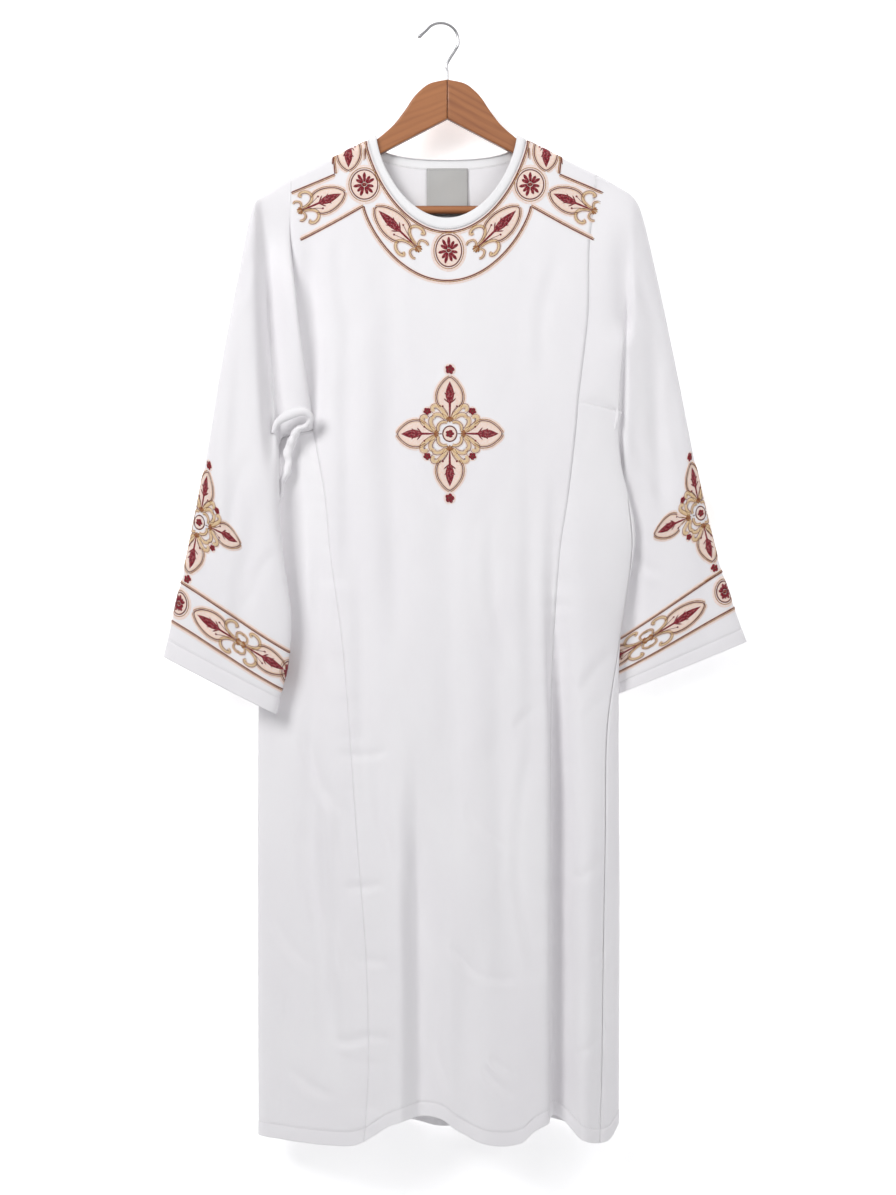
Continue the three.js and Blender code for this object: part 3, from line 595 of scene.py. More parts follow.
# a sheet from a grid of points: rows run down and columns run to the right seen from the front.
# edge gives each point its distance along and away from a sewn edge
def sheetObject(name, points, edge, material, closed=False, flip=False, thickness=1.1):
    rows, cols = points.shape[:2]
    around = points[:, list(range(cols)) + [0]] if closed else points
    corners = gridCorners(rows, around.shape[1])
    quads = np.stack([i * cols + j % cols for i, j in corners], -1).reshape(-1, 4)
    acrossStep = np.linalg.norm(np.diff(around, axis=1), axis=-1)
    u = np.concatenate([np.zeros((rows, 1)), np.cumsum(acrossStep, 1)], 1)
    u = u - u[:, [u.shape[1] // 2]]
    downStep = np.linalg.norm(np.diff(around, axis=0), axis=-1)
    v = np.concatenate([np.zeros((1, around.shape[1])), -np.cumsum(downStep, 0)], 0)
    clothUv = np.stack([u, v], -1) * mm
    edgeUv = (np.concatenate([edge, edge[:, :1]], 1) if closed else edge) * mm
    uvs = {}
    for uvName, values in (("cloth", clothUv), ("edge", edgeUv)):
        uvs[uvName] = np.stack([values[i, j] for i, j in corners], 2).reshape(-1, 4, 2)
    if flip:
        quads = quads[:, ::-1]
        uvs = {uvName: values[:, ::-1] for uvName, values in uvs.items()}
    piece = meshObject(name, points, quads, [material], uvs=uvs)
    wall = piece.modifiers.new("thickness", "SOLIDIFY")
    wall.thickness = thickness * mm
    wall.offset = -1
    return piece


# the neck

neckEdge = {"x": -1, "halfWidth": 97, "z": -153.4, "drop": 114.5, "fullness": 0.66}
neckSeam = {"x": -0.5, "halfWidth": 109.5, "z": -157.4, "drop": 127, "fullness": 0.71}
backNeckEdge = {"x": -1, "halfWidth": 97, "z": -153.4, "drop": 30, "fullness": 0.3}
backNeckSeam = {"x": -0.5, "halfWidth": 109.5, "z": -157.4, "drop": 41, "fullness": 0.32}


def neckPoint(curve, degrees, inset=0):
    turn = np.radians(degrees)
    x = curve["x"] + (curve["halfWidth"] - inset) * np.sin(turn)
    fall = (curve["drop"] - inset) * np.maximum(np.cos(turn), 0) ** (2 * curve["fullness"])
    return x, np.minimum(curve["z"] - fall, shoulderTop(x))


bindingSizes = {"stations": 150, "crowding": 1.25, "columns": 11, "dome": 1.5, "edgeRoll": 2.6,
                "thickness": 1.4, "width": 15}


def makeBinding(name, way):
    sizes = bindingSizes
    inner, outer = (neckEdge, neckSeam) if way < 0 else (backNeckEdge, backNeckSeam)
    place = np.linspace(-1, 1, sizes["stations"])
    degrees = np.sign(place) * 90 * (1 - (1 - np.abs(place)) ** sizes["crowding"])
    share = np.linspace(0, 1, sizes["columns"])[:, None]
    (x1, z1), (x2, z2) = neckPoint(inner, degrees), neckPoint(outer, degrees, bodyShape["seamGap"])
    x = mix(x1, x2, share)
    z = np.minimum(mix(z1, z2, share), shoulderTop(x))
    points = bodySurface(x, z, way)
    rise = sizes["dome"] * np.sqrt(np.maximum(1 - (2 * share - 1) ** 2, 0)) + 0.3
    level = ease((shoulderTop(x) - z) / 12)
    points[..., 1] += way * rise * (0.25 + 0.75 * level)
    points[..., 2] += rise * (1 - level)
    rolled = points[:1].copy()      # the folded edge, turned in towards the neck
    rolled[..., 1] -= way * sizes["edgeRoll"] * level[:1]
    points = np.concatenate([rolled, points])
    along = wayAlong(np.stack([x2, z2], -1))
    outward = (1 - np.concatenate([share[:1], share])) * sizes["width"]
    edge = np.stack(np.broadcast_arrays(along[None, :], outward), -1)
    return sheetObject(name, points, edge, bindingCloth, flip=way > 0, thickness=sizes["thickness"])


# panels and gores

panelSizes = {"step": 5.2, "backStep": 7.0, "upperRows": 92, "goreColumns": 26, "skirtLength": 970,
              "hemRows": [25, 22.5, 20.5, 19.5, 18, 14, 9, 4, 1.2, 0], "hemLevel": -1530,
              "neckAcross": 300, "leftShoulder": 110, "rightShoulder": 98, "leftEnd": -212, "rightEnd": -207}
ridgeRows = np.array([0, 0.6, 1.4, 2.6, 4.4, 6.6, 9.4, 13])


# heights between top and bottom, close together just above the hem
def skirtRows(top, bottom, step):
    main = np.linspace(0, 1, int(panelSizes["skirtLength"] / step))[:-1]
    last = np.array(panelSizes["hemRows"], float)
    stop = bottom + last[0] + step * 0.6
    return np.concatenate([mix(top, stop, main[:, None]), bottom + last[:, None]])


# a turned hem: a groove along its stitches, and two layers below that stand out a little
hemSizes = {"stitch": 19.5, "stitchWide": 1.6, "turned": 20.5, "fade": 1.5}


def hemDip(up, groove, stand):
    line = groove * np.exp(-((up - hemSizes["stitch"]) / hemSizes["stitchWide"]) ** 2)
    return line - stand * ease((hemSizes["turned"] - up) / hemSizes["fade"])


# how far a seam draws the cloth in, and how far the lower cloth runs on under the upper one
seams = {"edgeDip": 0.04, "under": 2.6, "underDip": 0.8, "reach": 3.5}


def seamDip(share, wide):
    away = np.minimum(share, 1 - share) * wide
    return seams["edgeDip"] * (1 - ease(away / seams["reach"]))


def makePanel(name, way):
    step = panelSizes["step"] if way < 0 else panelSizes["backStep"]
    sides, hem = (frontSeams, frontHem) if way < 0 else (backSeams, backHem)
    neck = neckSeam if way < 0 else backNeckSeam
    half = bodyShape["seamGap"] / 2

    def leftOf(z):
        return follow(sides, "z", "left", z) + half

    def rightOf(z):
        return follow(sides, "z", "right", z) - half

    inner = np.linspace(-1, 1, int(panelSizes["neckAcross"] / step))
    degrees = np.degrees(np.arcsin(np.sign(inner) * (1 - (1 - np.abs(inner)) ** 1.5)))
    neckX, neckZ = neckPoint(neck, degrees)
    leftEnd, rightEnd = leftOf(panelSizes["leftEnd"]), rightOf(panelSizes["rightEnd"])
    leftX = np.linspace(leftEnd, neckX[0], int(panelSizes["leftShoulder"] / step))[:-1]
    rightX = np.linspace(neckX[-1], rightEnd, int(panelSizes["rightShoulder"] / step))[1:]
    topX = np.concatenate([leftX, neckX, rightX])
    topZ = np.concatenate([shoulderTop(leftX), neckZ, shoulderTop(rightX)])
    share = (topX - leftOf(topZ)) / (rightOf(topZ) - leftOf(topZ))
    apart = 3e-4 * np.arange(len(share))     # no two columns may cross at the neck ends
    share = np.maximum.accumulate(share - apart) + apart
    share[0], share[-1] = 0, 1
    level = mix(goreTop["left"]["seam"], goreTop["right"]["seam"], share)
    low = panelSizes["hemLevel"]
    bottom = follow(hem, "x", "z", mix(leftOf(low), rightOf(low), share))
    upperCount = int(panelSizes["upperRows"] * panelSizes["step"] / step)
    started = topZ - ridgeRows[-1]
    upper = np.concatenate([topZ - ridgeRows[:, None],
                            mix(started, level, np.linspace(0, 1, upperCount)[1:-1, None])])
    z = np.concatenate([upper, skirtRows(level, bottom, step)])
    x = mix(leftOf(z), rightOf(z), share)
    points = bodySurface(x, z, way)
    dip = seamDip(share, rightOf(z) - leftOf(z)) * ease((shoulderTop(x) - z) / 20)
    hemUp = z - bottom
    points[..., 1] -= way * (dip + hemDip(hemUp, 0.5, 0.35))
    edge = np.stack([x, hemUp], -1)
    return sheetObject(name, points, edge, whiteCloth, flip=way > 0)


# columns between two places round the body, gathered at the side fold
def gatheredPlace(start, end, share):
    pack = 1.6
    first, last = [np.sign(v - 1) * np.abs(v - 1) ** (1 / pack) for v in (start, end)]
    away = mix(first, last, share)
    return 1 + np.sign(away) * np.abs(away) ** pack


def goreTopAt(side, place):
    near = np.maximum(1 - np.abs(place - 1) / 0.22, 0)
    return mix(goreTop[side]["seam"], goreTop[side]["edge"], near)


def makeGore(name, side, start, end):
    sign = -1 if side == "left" else 1
    step = panelSizes["step"]
    share = np.linspace(0, 1, panelSizes["goreColumns"])
    frontSide = "front" in name      # its edge at the panel runs on under the panel
    share = np.r_[-0.022, share] if frontSide else np.r_[share, 1.022]
    tuck = np.r_[seams["underDip"], 0.25, np.zeros(len(share) - 2)]
    if not frontSide:
        tuck = tuck[::-1]

    def placeAt(z):
        return gatheredPlace(start(z), end(z), share)

    top = goreTopAt(side, placeAt(goreTop[side]["seam"]))
    hemPlace = placeAt(panelSizes["hemLevel"])
    hemX = ringSurface(sign * hemPlace, panelSizes["hemLevel"])[..., 0]
    bottom = np.where(hemPlace < 1, follow(frontHem, "x", "z", hemX), follow(backHem, "x", "z", hemX))
    z = skirtRows(top, bottom, step)
    place = placeAt(z)
    points = ringSurface(sign * place, z)
    normals = gridNormals(points, flip=sign < 0)
    wide = np.linalg.norm(np.diff(points, axis=1), axis=-1).sum(1)[:, None]
    hemUp = z - bottom
    dip = seamDip(np.clip(share, 0, 1), wide) + tuck + hemDip(hemUp, 0.5, 0.35)
    points = points - normals * dip[..., None]
    edge = np.stack([points[..., 0], hemUp], -1)
    return sheetObject(name, points, edge, whiteCloth, flip=sign < 0)


def seamPlace(rows, column, way, gap):
    return lambda z: np.abs(placeRound(follow(rows, "z", column, z) + gap, z, way))


def sidePlace(gap):
    return lambda z: seamPlace(frontSeams, "side", front, 0)(z) + gap


panelGap, sideGap = 0.15, 0.0016


# sleeves

sleeveShape = {
    "right": {
        "at": [0, 0.07, 0.13, 0.2, 0.35, 0.5, 0.65, 0.8, 0.9, 1],
        "outX": [212, 238, 257, 270, 294, 321, 346, 375, 396, 418],
        "outZ": [-206, -223, -236, -258, -352, -477, -602, -727, -793, -854],
        "inX": [243, 240, 235, 229, 226, 228, 229, 228, 227, 228],
        "inZ": [-533, -541, -558, -580, -634, -699, -762, -832, -882, -931],
        "y": [0, 1, 4, 12, 24, 30, 31, 29, 28, 28],
        "front": [12, 19, 22, 24, 26, 22, 20, 19, 18, 17],
        "back": [12, 17, 15, 14, 16, 18, 18, 17, 16, 15],
    },
    "left": {
        "at": [0, 0.07, 0.13, 0.2, 0.35, 0.5, 0.65, 0.8, 0.9, 1],
        "outX": [-223, -240, -256, -268, -287, -311, -330, -355, -370, -388],
        "outZ": [-210, -225, -237, -256, -352, -484, -602, -731, -796, -873],
        "inX": [-224, -230, -233, -231, -230, -228, -220, -213, -218, -234],
        "inZ": [-570, -579, -591, -604, -650, -703, -765, -826, -882, -952],
        "y": [0, 0, -7, -24, -38, -44, -46, -47, -46, -45],
        "front": [12, 19, 20, 18, 17, 18, 19, 20, 21, 22],
        "back": [12, 19, 22, 16, 18, 18, 18, 18, 18, 18],
    },
    "power": 3, "setIn": 0.13, "corner": 0.87,
    "rollUntil": 0.11, "rollOver": 10, "rollForward": 22,
    "rings": 99, "length": 640, "upperStations": 58, "goreStations": 14, "shoulderZ": -210,
}
sleeveRipples = [(1.0, 40, 90, 11), (0.5, 17, 40, 13)]


# stations down the seam that a sleeve is sewn to, and the share of the way at each
def armholeEdge(side, way):
    sign = -1 if side == "left" else 1
    sides = frontSeams if way < 0 else backSeams

    def seamX(z):
        return follow(sides, "z", side, z) + sign * bodyShape["seamGap"] / 2

    corner = goreTop[side]["seam"]
    top = float(shoulderTop(seamX(sleeveShape["shoulderZ"])))
    z = np.concatenate([top - ridgeRows, np.linspace(top - 13, corner, sleeveShape["upperStations"])[1:]])
    upper = bodySurface(seamX(z), z, way)
    upper[0, 1] = 0
    upperShare = sleeveShape["corner"] * (top - z) / (top - corner)
    columns = np.linspace(0, 1, sleeveShape["goreStations"])[1:]

    def placeAt(height):
        return gatheredPlace(np.abs(placeRound(seamX(height), height, front)), 1.0, columns)

    height = goreTopAt(side, placeAt(np.full(len(columns), float(corner))))
    place = placeAt(height)
    lower = ringSurface(sign * (place if way < 0 else 2 - place), height)
    lower[:, 2] += bodyShape["seamGap"]
    begin = np.abs(placeRound(seamX(height), height, front))
    lowerShare = mix(sleeveShape["corner"], 1, (place - begin) / (1 - begin))
    return np.concatenate([upper, lower]), np.concatenate([upperShare, lowerShare])


def sleeveGrid(side):
    shape = sleeveShape[side]
    frontEdge, frontShare = armholeEdge(side, front)
    backEdge, backShare = armholeEdge(side, back)
    sewn = np.concatenate([frontEdge, backEdge[1:-1][::-1]])[None]
    share = np.concatenate([frontShare, backShare[1:-1][::-1]])[None]
    way = np.concatenate([-np.ones(len(frontShare)), np.ones(len(backShare) - 2)])[None]
    rings = np.linspace(0, 1, sleeveShape["rings"]) ** 1.15
    last = 1 - np.array(panelSizes["hemRows"][1:-1]) / sleeveShape["length"]
    at = np.sort(np.concatenate([rings[rings < last[0]], last, [1]]))[:, None]
    section = {column: follow(shape, "at", column, at) for column in
               ("outX", "outZ", "inX", "inZ", "y", "front", "back")}
    bulge = arch(2 * share - 1, sleeveShape["power"])
    x = mix(section["outX"], section["inX"], share)
    z = mix(section["outZ"], section["inZ"], share)
    push = foldPush(sleeveFolds[side], x, z) + creasePush(sleeveCreases[side], x, z)
    behind = 0.7 * foldPush(sleeveFolds[side], x - 14, z - 30)
    push = np.where(way < 0, push, behind) * ease(at / 0.2)
    waves = ripple(x, z, sleeveRipples) * ease((at - 0.03) / 0.1)
    depth = np.where(way < 0, section["front"], section["back"])
    hang = np.stack([x, section["y"] + way * (depth + waves - push) * bulge, z], -1)
    points = mix(sewn, hang, ease(at / sleeveShape["setIn"])[..., None])
    if side == "left":
        rise = np.sin(math.pi * np.minimum(at / sleeveShape["rollUntil"], 1)) * np.sin(math.pi * share) ** 0.7
        rise = rise * (way < 0) * ease((share - 0.1) / 0.35)
        points[..., 0] += sleeveShape["rollOver"] * rise
        points[..., 1] -= sleeveShape["rollForward"] * rise
    cuffUp = (1 - at) * sleeveShape["length"] + 0 * share
    normals = gridNormals(points, closed=True, flip=side == "right")
    points = points - normals * hemDip(cuffUp, 0.35, 0.25)[..., None]
    # the first ring runs on under the panels
    first = points[0] + unit(points[0] - points[1]) * seams["under"]
    top = ease(1 - share[0] / 0.05)
    inward = np.stack([0 * top, -way[0] * (1 - top), -top], -1)
    first = first + inward * seams["underDip"]
    return np.concatenate([first[None], points]), np.concatenate([cuffUp[:1] + 3, cuffUp])


def makeSleeve(name, side):
    points, cuffUp = sleeveGrid(side)
    along = np.cumsum(np.linalg.norm(points - np.roll(points, 1, 1), axis=-1), 1)
    edge = np.stack([along, cuffUp], -1)
    return sheetObject(name, points, edge, whiteCloth, closed=True, flip=side == "right"), points


# the side of each gore, and where it starts and ends round the body
gores = {
    "gore_left_front": ("left", seamPlace(frontSeams, "left", front, -panelGap),
                        lambda z: 1 - sideGap + 0 * z),
    "gore_left_back": ("left", lambda z: 1 + sideGap + 0 * z, seamPlace(backSeams, "left", back, -panelGap)),
    "gore_right_front": ("right", seamPlace(frontSeams, "right", front, panelGap), sidePlace(-sideGap)),
    "gore_right_back": ("right", sidePlace(sideGap), seamPlace(backSeams, "right", back, panelGap)),
}
clothPieces = {
    "front_panel": makePanel("front_panel_cloth", front),
    "back_panel": makePanel("back_panel_cloth", back),
}
for node, gore in gores.items():
    clothPieces[node] = makeGore(node + "_cloth", *gore)
for node, way in (("neck_binding_front", front), ("neck_binding_back", back)):
    clothPieces[node] = makeBinding(node + "_cloth", way)
sleevePoints = {}
for side in ("left", "right"):
    clothPieces["sleeve_" + side], sleevePoints[side] = makeSleeve("sleeve_" + side + "_cloth", side)

# the turned edge under the left arm and the ruffled strip that hangs from it
underarm = {
    "x": [-240, -232, -218, -203, -192, -187, -193, -205.5, -214, -219.5, -219.5, -226.5, -231],
    "y": [-34, -40, -44, -45, -43, -39, -34, -30, -28, -27, -27, -28, -30],
    "z": [-567, -552, -543, -538, -539.5, -547, -556, -562, -575.5, -595, -613, -632, -661],
    "half": [2.5, 5.0, 6.6, 6.4, 5.2, 4.2, 3.8, 4.6, 5.8, 5.6, 5.2, 4.0, 1.6],
    "depth": 7.5, "rows": 84, "columns": 15,
    # sway, change of width and change of height: size, how often and seed
    "ruffles": [(1.5, 1.9, 4), (0.2, 2.7, 8), (0.45, 2.2, 6)],
}


def makeUnderarm():
    at = np.arange(len(underarm["x"]))
    where = np.linspace(0, at[-1], underarm["rows"])
    x, y, z, half = [follow({"at": at, "v": underarm[column]}, "at", "v", where)
                     for column in ("x", "y", "z", "half")]
    path = np.stack([x, y, z], -1)
    along = np.gradient(path, axis=0)
    side = unit(np.stack([-along[:, 2], 0 * where, along[:, 0]], -1))
    ruffle = ease((where - 6) / 2)      # only the strip is ruffled, not the turned edge
    sway, swell, lift = [ruffle * size * softNoise(where * often, 0 * where, seed)
                         for size, often, seed in underarm["ruffles"]]
    path = path + side * sway[:, None]
    turn = np.linspace(-1.9, 1.9, underarm["columns"])
    across = half[:, None] * np.sin(turn) * (1 + swell)[:, None]
    rise = underarm["depth"] * np.cos(turn) * (0.8 + lift)[:, None]
    points = path[:, None] + side[:, None] * across[..., None] + np.array([0, -1.0, 0]) * rise[..., None]
    edge = np.stack(np.broadcast_arrays(where[:, None] * 9, 5 + across), -1)
    return sheetObject("sleeve_left_underarm", points, edge, whiteCloth, thickness=1.0)


underarmStrip = makeUnderarm()
for node, piece in clothPieces.items():
    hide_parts(node)
print("cloth pieces made")


# embroidery
# A design is a list of strokes in millimetres: a path, the half width along it, the thread and its
# height above the cloth.

def smoothPath(places, step=1.6):
    places = np.asarray(places, float)
    places = np.concatenate([2 * places[:1] - places[1:2], places, 2 * places[-1:] - places[-2:-1]])
    found = []
    for a, b, c, d in zip(places, places[1:], places[2:], places[3:]):
        count = max(int(np.linalg.norm(c - b) / step), 2)
        t = np.linspace(0, 1, count, endpoint=False)[:, None]
        found.append(0.5 * (2 * b + (c - a) * t + (2 * a - 5 * b + 4 * c - d) * t * t
                            + (3 * b - a - 3 * c + d) * t ** 3))
    found.append(places[-2][None])
    return np.concatenate(found)


# the direction to the right of a path at each of its points
def rightward(path):
    along = unit(np.gradient(path, axis=0))
    return np.stack([along[:, 1], -along[:, 0]], -1)


def besidePath(path, away):
    return path + rightward(path) * away


def stroke(path, half, thread, height=0.6, ends=True):
    path = np.asarray(path, float)
    half = np.broadcast_to(np.asarray(half, float), len(path)).copy()
    if ends:      # rounded ends
        length = wayAlong(path)
        near = np.minimum(length, length[-1] - length)
        half *= np.sqrt(np.clip(near / np.maximum(half, 1e-6), 0.02, 1))
    return {"path": path, "half": half, "thread": thread, "height": height}


# a filled shape along a line, its half width swelling to the middle
def leaf(start, end, wide, thread, height=0.7, peak=0.5, bend=0.0, point=1.0):
    start, end = np.asarray(start, float), np.asarray(end, float)
    length = np.linalg.norm(end - start)
    t = np.linspace(0, 1, max(int(length / 1.1), 6))[:, None]
    side = np.array([end[1] - start[1], start[0] - end[0]]) / max(length, 1e-6)
    path = mix(start, end, t) + side * bend * np.sin(math.pi * t)
    swell = np.where(t < peak, t / peak, (1 - t) / (1 - peak))[:, 0]
    return stroke(path, wide / 2 * np.sin(swell * math.pi / 2) ** point, thread, height, ends=False)


def ovalPath(centre, radiusX, radiusZ):
    count = int(2 * math.pi * max(radiusX, radiusZ) / 1.3)
    angle = np.linspace(0, 2 * math.pi, count)
    return np.asarray(centre, float) + np.stack([radiusX * np.cos(angle), radiusZ * np.sin(angle)], -1)


def disc(centre, radiusX, radiusZ, thread, height=0.7):
    t = np.linspace(-1, 1, 11)
    path = np.stack([centre[0] + radiusX * t, np.full(11, float(centre[1]))], -1)
    return stroke(path, radiusZ * np.sqrt(np.maximum(1 - t * t, 0.002)), thread, height, ends=False)


# moves strokes drawn upright at the origin to a place, turned so that up points along angle
def setDown(strokes, place, angle):
    c, s = math.cos(angle - math.pi / 2), math.sin(angle - math.pi / 2)
    rotation = np.array([[c, s], [-s, c]])
    return [{**one, "path": one["path"] @ rotation + np.asarray(place, float)} for one in strokes]


budShape = {
    "outline": [(0.34, 0.34), (0.46, 0.44), (0.50, 0.57), (0.45, 0.72), (0.30, 0.88), (0.10, 0.98),
                (0.0, 1.0)],
    "scroll": [(0.05, 0.10), (0.10, 0.22), (0.24, 0.33), (0.44, 0.36), (0.62, 0.30), (0.68, 0.20),
               (0.60, 0.13), (0.51, 0.18)],
    "footScroll": [(0.05, 0.06), (0.20, 0.10), (0.34, 0.09), (0.42, 0.01), (0.37, -0.05)],
    "foot": (0.12, 0.06), "head": (0.40, 0.93, 0.40), "line": 1.0, "goldLine": 0.9,
    "scrollHalf": 1.7, "footScrollHalf": 1.1,
}


# a red spear with small barbs on a stem of three threads
def spear(length, wide, foot, headFrom, headTo, headWide):
    found = [leaf((0, headFrom * length), (0, headTo * length), headWide * wide, "red", 1.1, peak=0.45)]
    for share, reach in ((0.18, 1.0), (0.42, 0.9)):
        for sign in (1, -1):
            low = mix(headFrom, headTo, share - 0.12) * length
            high = mix(headFrom, headTo, share + 0.12) * length
            tip = (sign * reach * headWide * wide * 0.62, high)
            found.append(leaf((0, low), tip, 2.6, "red", 1.0, peak=0.7))
    neck = (0, (headFrom + 0.12) * length)
    found.append(leaf((0, foot * length), neck, 0.11 * wide, "red", 1.0, peak=0.8, point=0.7))
    for sign in (1, -1):
        stem = smoothPath([(sign * 0.04 * wide, (foot + 0.02) * length),
                           (sign * 0.10 * wide, mix(foot, 0.5, 0.5) * length),
                           (sign * 0.27 * wide, mix(foot, 0.5, 0.95) * length)])
        found.append(stroke(stem, 0.6, "brown", 0.7))
        found.append(disc(stem[-1], 1.3, 1.8, "red", 0.9))
        tip = (sign * 0.20 * wide, mix(foot, 0.5, 0.62) * length)
        found.append(leaf((sign * 0.03 * wide, foot * length), tip, 1.8, "gold", 0.8, bend=-sign * 1.4))
    return found


# a scroll of pale thread edged with two thin lines
def scroll(places, half):
    curl = smoothPath(places)
    return [stroke(curl, half + 2.0, "halo", 0.12), stroke(curl, half, "cream", 0.5),
            stroke(besidePath(curl, half + 0.1), 0.5, "gold", 0.8),
            stroke(besidePath(curl, -half - 0.1), 0.5, "brown", 0.8)]


# a pale pointed oval in a double line with scrolls at its sides; foot is where the pale thread starts
# and its half width there
def pointedOval(sizes, length, wide, scrolls):
    footAt, footHalf = sizes["foot"]
    right = smoothPath([(x * wide, z * length) for x, z in sizes["outline"]])
    fill = np.stack([np.zeros(30), np.linspace(footAt, 0.985, 30) * length], -1)
    halfFill = np.interp(fill[:, 1], np.r_[footAt * length, right[:, 1]], np.r_[footHalf * wide, right[:, 0]])
    found = [stroke(fill, np.maximum(halfFill - 0.6, 0.1), "blush", 0.22, ends=False)]
    for sign in (1, -1):
        ring = right * [sign, 1]
        found.append(stroke(besidePath(ring, sign * 2.0), 3.2, "halo", 0.10))
        found.append(stroke(besidePath(ring, -sign * 1.8), 0.45, "cream", 0.5))
        found.append(stroke(besidePath(ring, sign * 2.0), sizes["goldLine"], "gold", 0.6))
        found.append(stroke(ring, sizes["line"], "brown", 0.8, ends=False))
        for places, half in scrolls:
            found += scroll([(sign * x, z) for x, z in places], half)
    return found


# a bud in a pointed oval: a red spear on a stem, scrolls at its sides and a small knot at its foot
def bud(length, wide):
    curls = [([(x * wide, z * length) for x, z in budShape[name]], budShape[name + "Half"])
             for name in ("scroll", "footScroll")]
    found = pointedOval(budShape, length, wide, curls)
    found += spear(length, wide, 0.06, *budShape["head"])
    for turn in (-1.2, -0.6, 0, 0.6, 1.2):
        tip = (math.sin(turn) * 0.17 * wide, 0.05 * length - math.cos(turn) * 0.09 * length)
        found.append(leaf((0, 0.09 * length), tip, 4.0, "gold" if turn else "cream", 0.9, peak=0.65))
        found.append(leaf((0, 0.08 * length), tip, 1.5, "red" if turn else "brown", 1.1, peak=0.7))
    return found


def budBetween(foot, tip, wide):
    return setDown(bud(np.linalg.norm(tip - foot), wide), foot, math.atan2(*(tip - foot)[::-1]))


# an oval ring with petals
def rosette(radiusX, radiusZ):
    petals = {"count": 11, "long": 0.94, "short": 0.80, "wide": 5.6}
    found = [stroke(ovalPath((0, 0), radiusX + 1.2, radiusZ + 1.2), 3.0, "halo", 0.10, ends=False),
             disc((0, 0), radiusX - 2.4, radiusZ - 2.4, "blush", 0.22),
             stroke(ovalPath((0, 0), radiusX, radiusZ), 0.85, "gold", 0.6, ends=False),
             stroke(ovalPath((0, 0), radiusX - 3.0, radiusZ - 3.0), 1.0, "brown", 0.8, ends=False)]
    for k in range(petals["count"]):
        turn = 2 * math.pi * (k + 0.12 * math.sin(2.3 * k)) / petals["count"]
        reach = petals["short"] if k % 2 else petals["long"]
        tip = (math.sin(turn) * reach * (radiusX - 5), math.cos(turn) * reach * (radiusZ - 5))
        inner = (math.sin(turn) * 3.0, math.cos(turn) * 3.0)
        found.append(leaf(inner, tip, petals["wide"], "red", 1.1, peak=0.6, point=0.5))
    found.append(disc((0, 0), 3.2, 3.2, "red", 1.0))
    found.append(disc((0, 0), 1.1, 1.1, "gold", 1.4))
    return found


def berry(size):
    found = [disc((0, 0), size * 0.95, size * 0.95, "halo", 0.1)]
    for k in range(5):
        turn = 2 * math.pi * k / 5 + 0.3
        place = (math.sin(turn) * size * 0.42, math.cos(turn) * size * 0.42)
        found.append(disc(place, size * 0.36, size * 0.36, "red", 0.9))
    found.append(disc((0, 0), size * 0.26, size * 0.26, "brown", 1.1))
    return found


# drawn for an upright arm of the length drawnAt, and scaled from that
crossArm = {
    "drawnAt": 78, "wide": 36,
    "outline": [(0.36, 0.47), (0.47, 0.56), (0.50, 0.65), (0.44, 0.78), (0.26, 0.91), (0.08, 0.985),
                (0.0, 1.0)],
    "lobe": [(4.0, 21), (7, 27), (11, 32.5), (17, 38), (22.5, 38), (24, 33.5), (20.5, 31)],
    "underLobe": [(5, 20), (9.5, 24), (15.5, 26.5), (21, 25.5), (22.5, 21)],
    "foot": (0.30, 0.14), "head": (0.50, 0.93, 0.38), "line": 0.85, "goldLine": 0.95,
    "lobeHalf": 2.9, "underLobeHalf": 2.6, "arcHalf": 1.7,
    "arc": [(3.2, 15.6), (8.6, 16.6), (14, 14), (16.6, 8.6), (15.6, 3.2)],
    "berry": 7.2, "berryAway": 44, "middleBerry": 8.0, "endBerry": 9.0, "endBerryAt": 1.14,
}


def crossDesign(upX, upZ):
    sizes = crossArm
    scale = upZ / sizes["drawnAt"]
    wide = sizes["wide"] * scale
    arc, *curls = [([(x * scale, z * scale) for x, z in sizes[name]], sizes[name + "Half"] * scale)
                   for name in ("arc", "underLobe", "lobe")]
    found = []
    for k in range(4):
        length = upZ if k % 2 == 0 else upX
        upright = math.pi / 2 - k * math.pi / 2
        arm = pointedOval(sizes, length, wide, curls)
        arm += spear(length, wide, 0.25, *sizes["head"])
        for turn in (-1.25, -0.6, 0, 0.6, 1.25):
            tip = (math.sin(turn) * 0.17 * wide, (0.27 - math.cos(turn) * 0.075) * length)
            arm.append(leaf((0, 0.31 * length), tip, 3.8, "gold", 0.9, peak=0.6))
            arm.append(leaf((0, 0.30 * length), tip, 1.4, "red", 1.1, peak=0.6))
        found += setDown(arm, (0, 0), upright)
        corner = math.pi / 4 + k * math.pi / 2
        away = sizes["berryAway"] * scale
        place = (away * math.cos(corner), away * math.sin(corner))
        found += setDown(berry(sizes["berry"] * scale), place, 1.2)
        found += setDown(scroll(*arc), (0, 0), upright)
    found.append(disc((0, 0), 9.0 * scale, 9.8 * scale, "blush", 0.3))
    found.append(stroke(ovalPath((0, 0), 9.6 * scale, 10.6 * scale), 0.95, "brown", 0.8, ends=False))
    found += berry(sizes["middleBerry"] * scale)
    for sign in (1, -1):
        found.append(stroke([(sign * 10, 0), (sign * 12.5, 0), (sign * 15.5, 0)], 0.7, "brown", 0.8))
    for sign in (1, -1):
        found += setDown(berry(sizes["endBerry"] * scale), (0, sign * sizes["endBerryAt"] * upZ), 0.4)
    return found


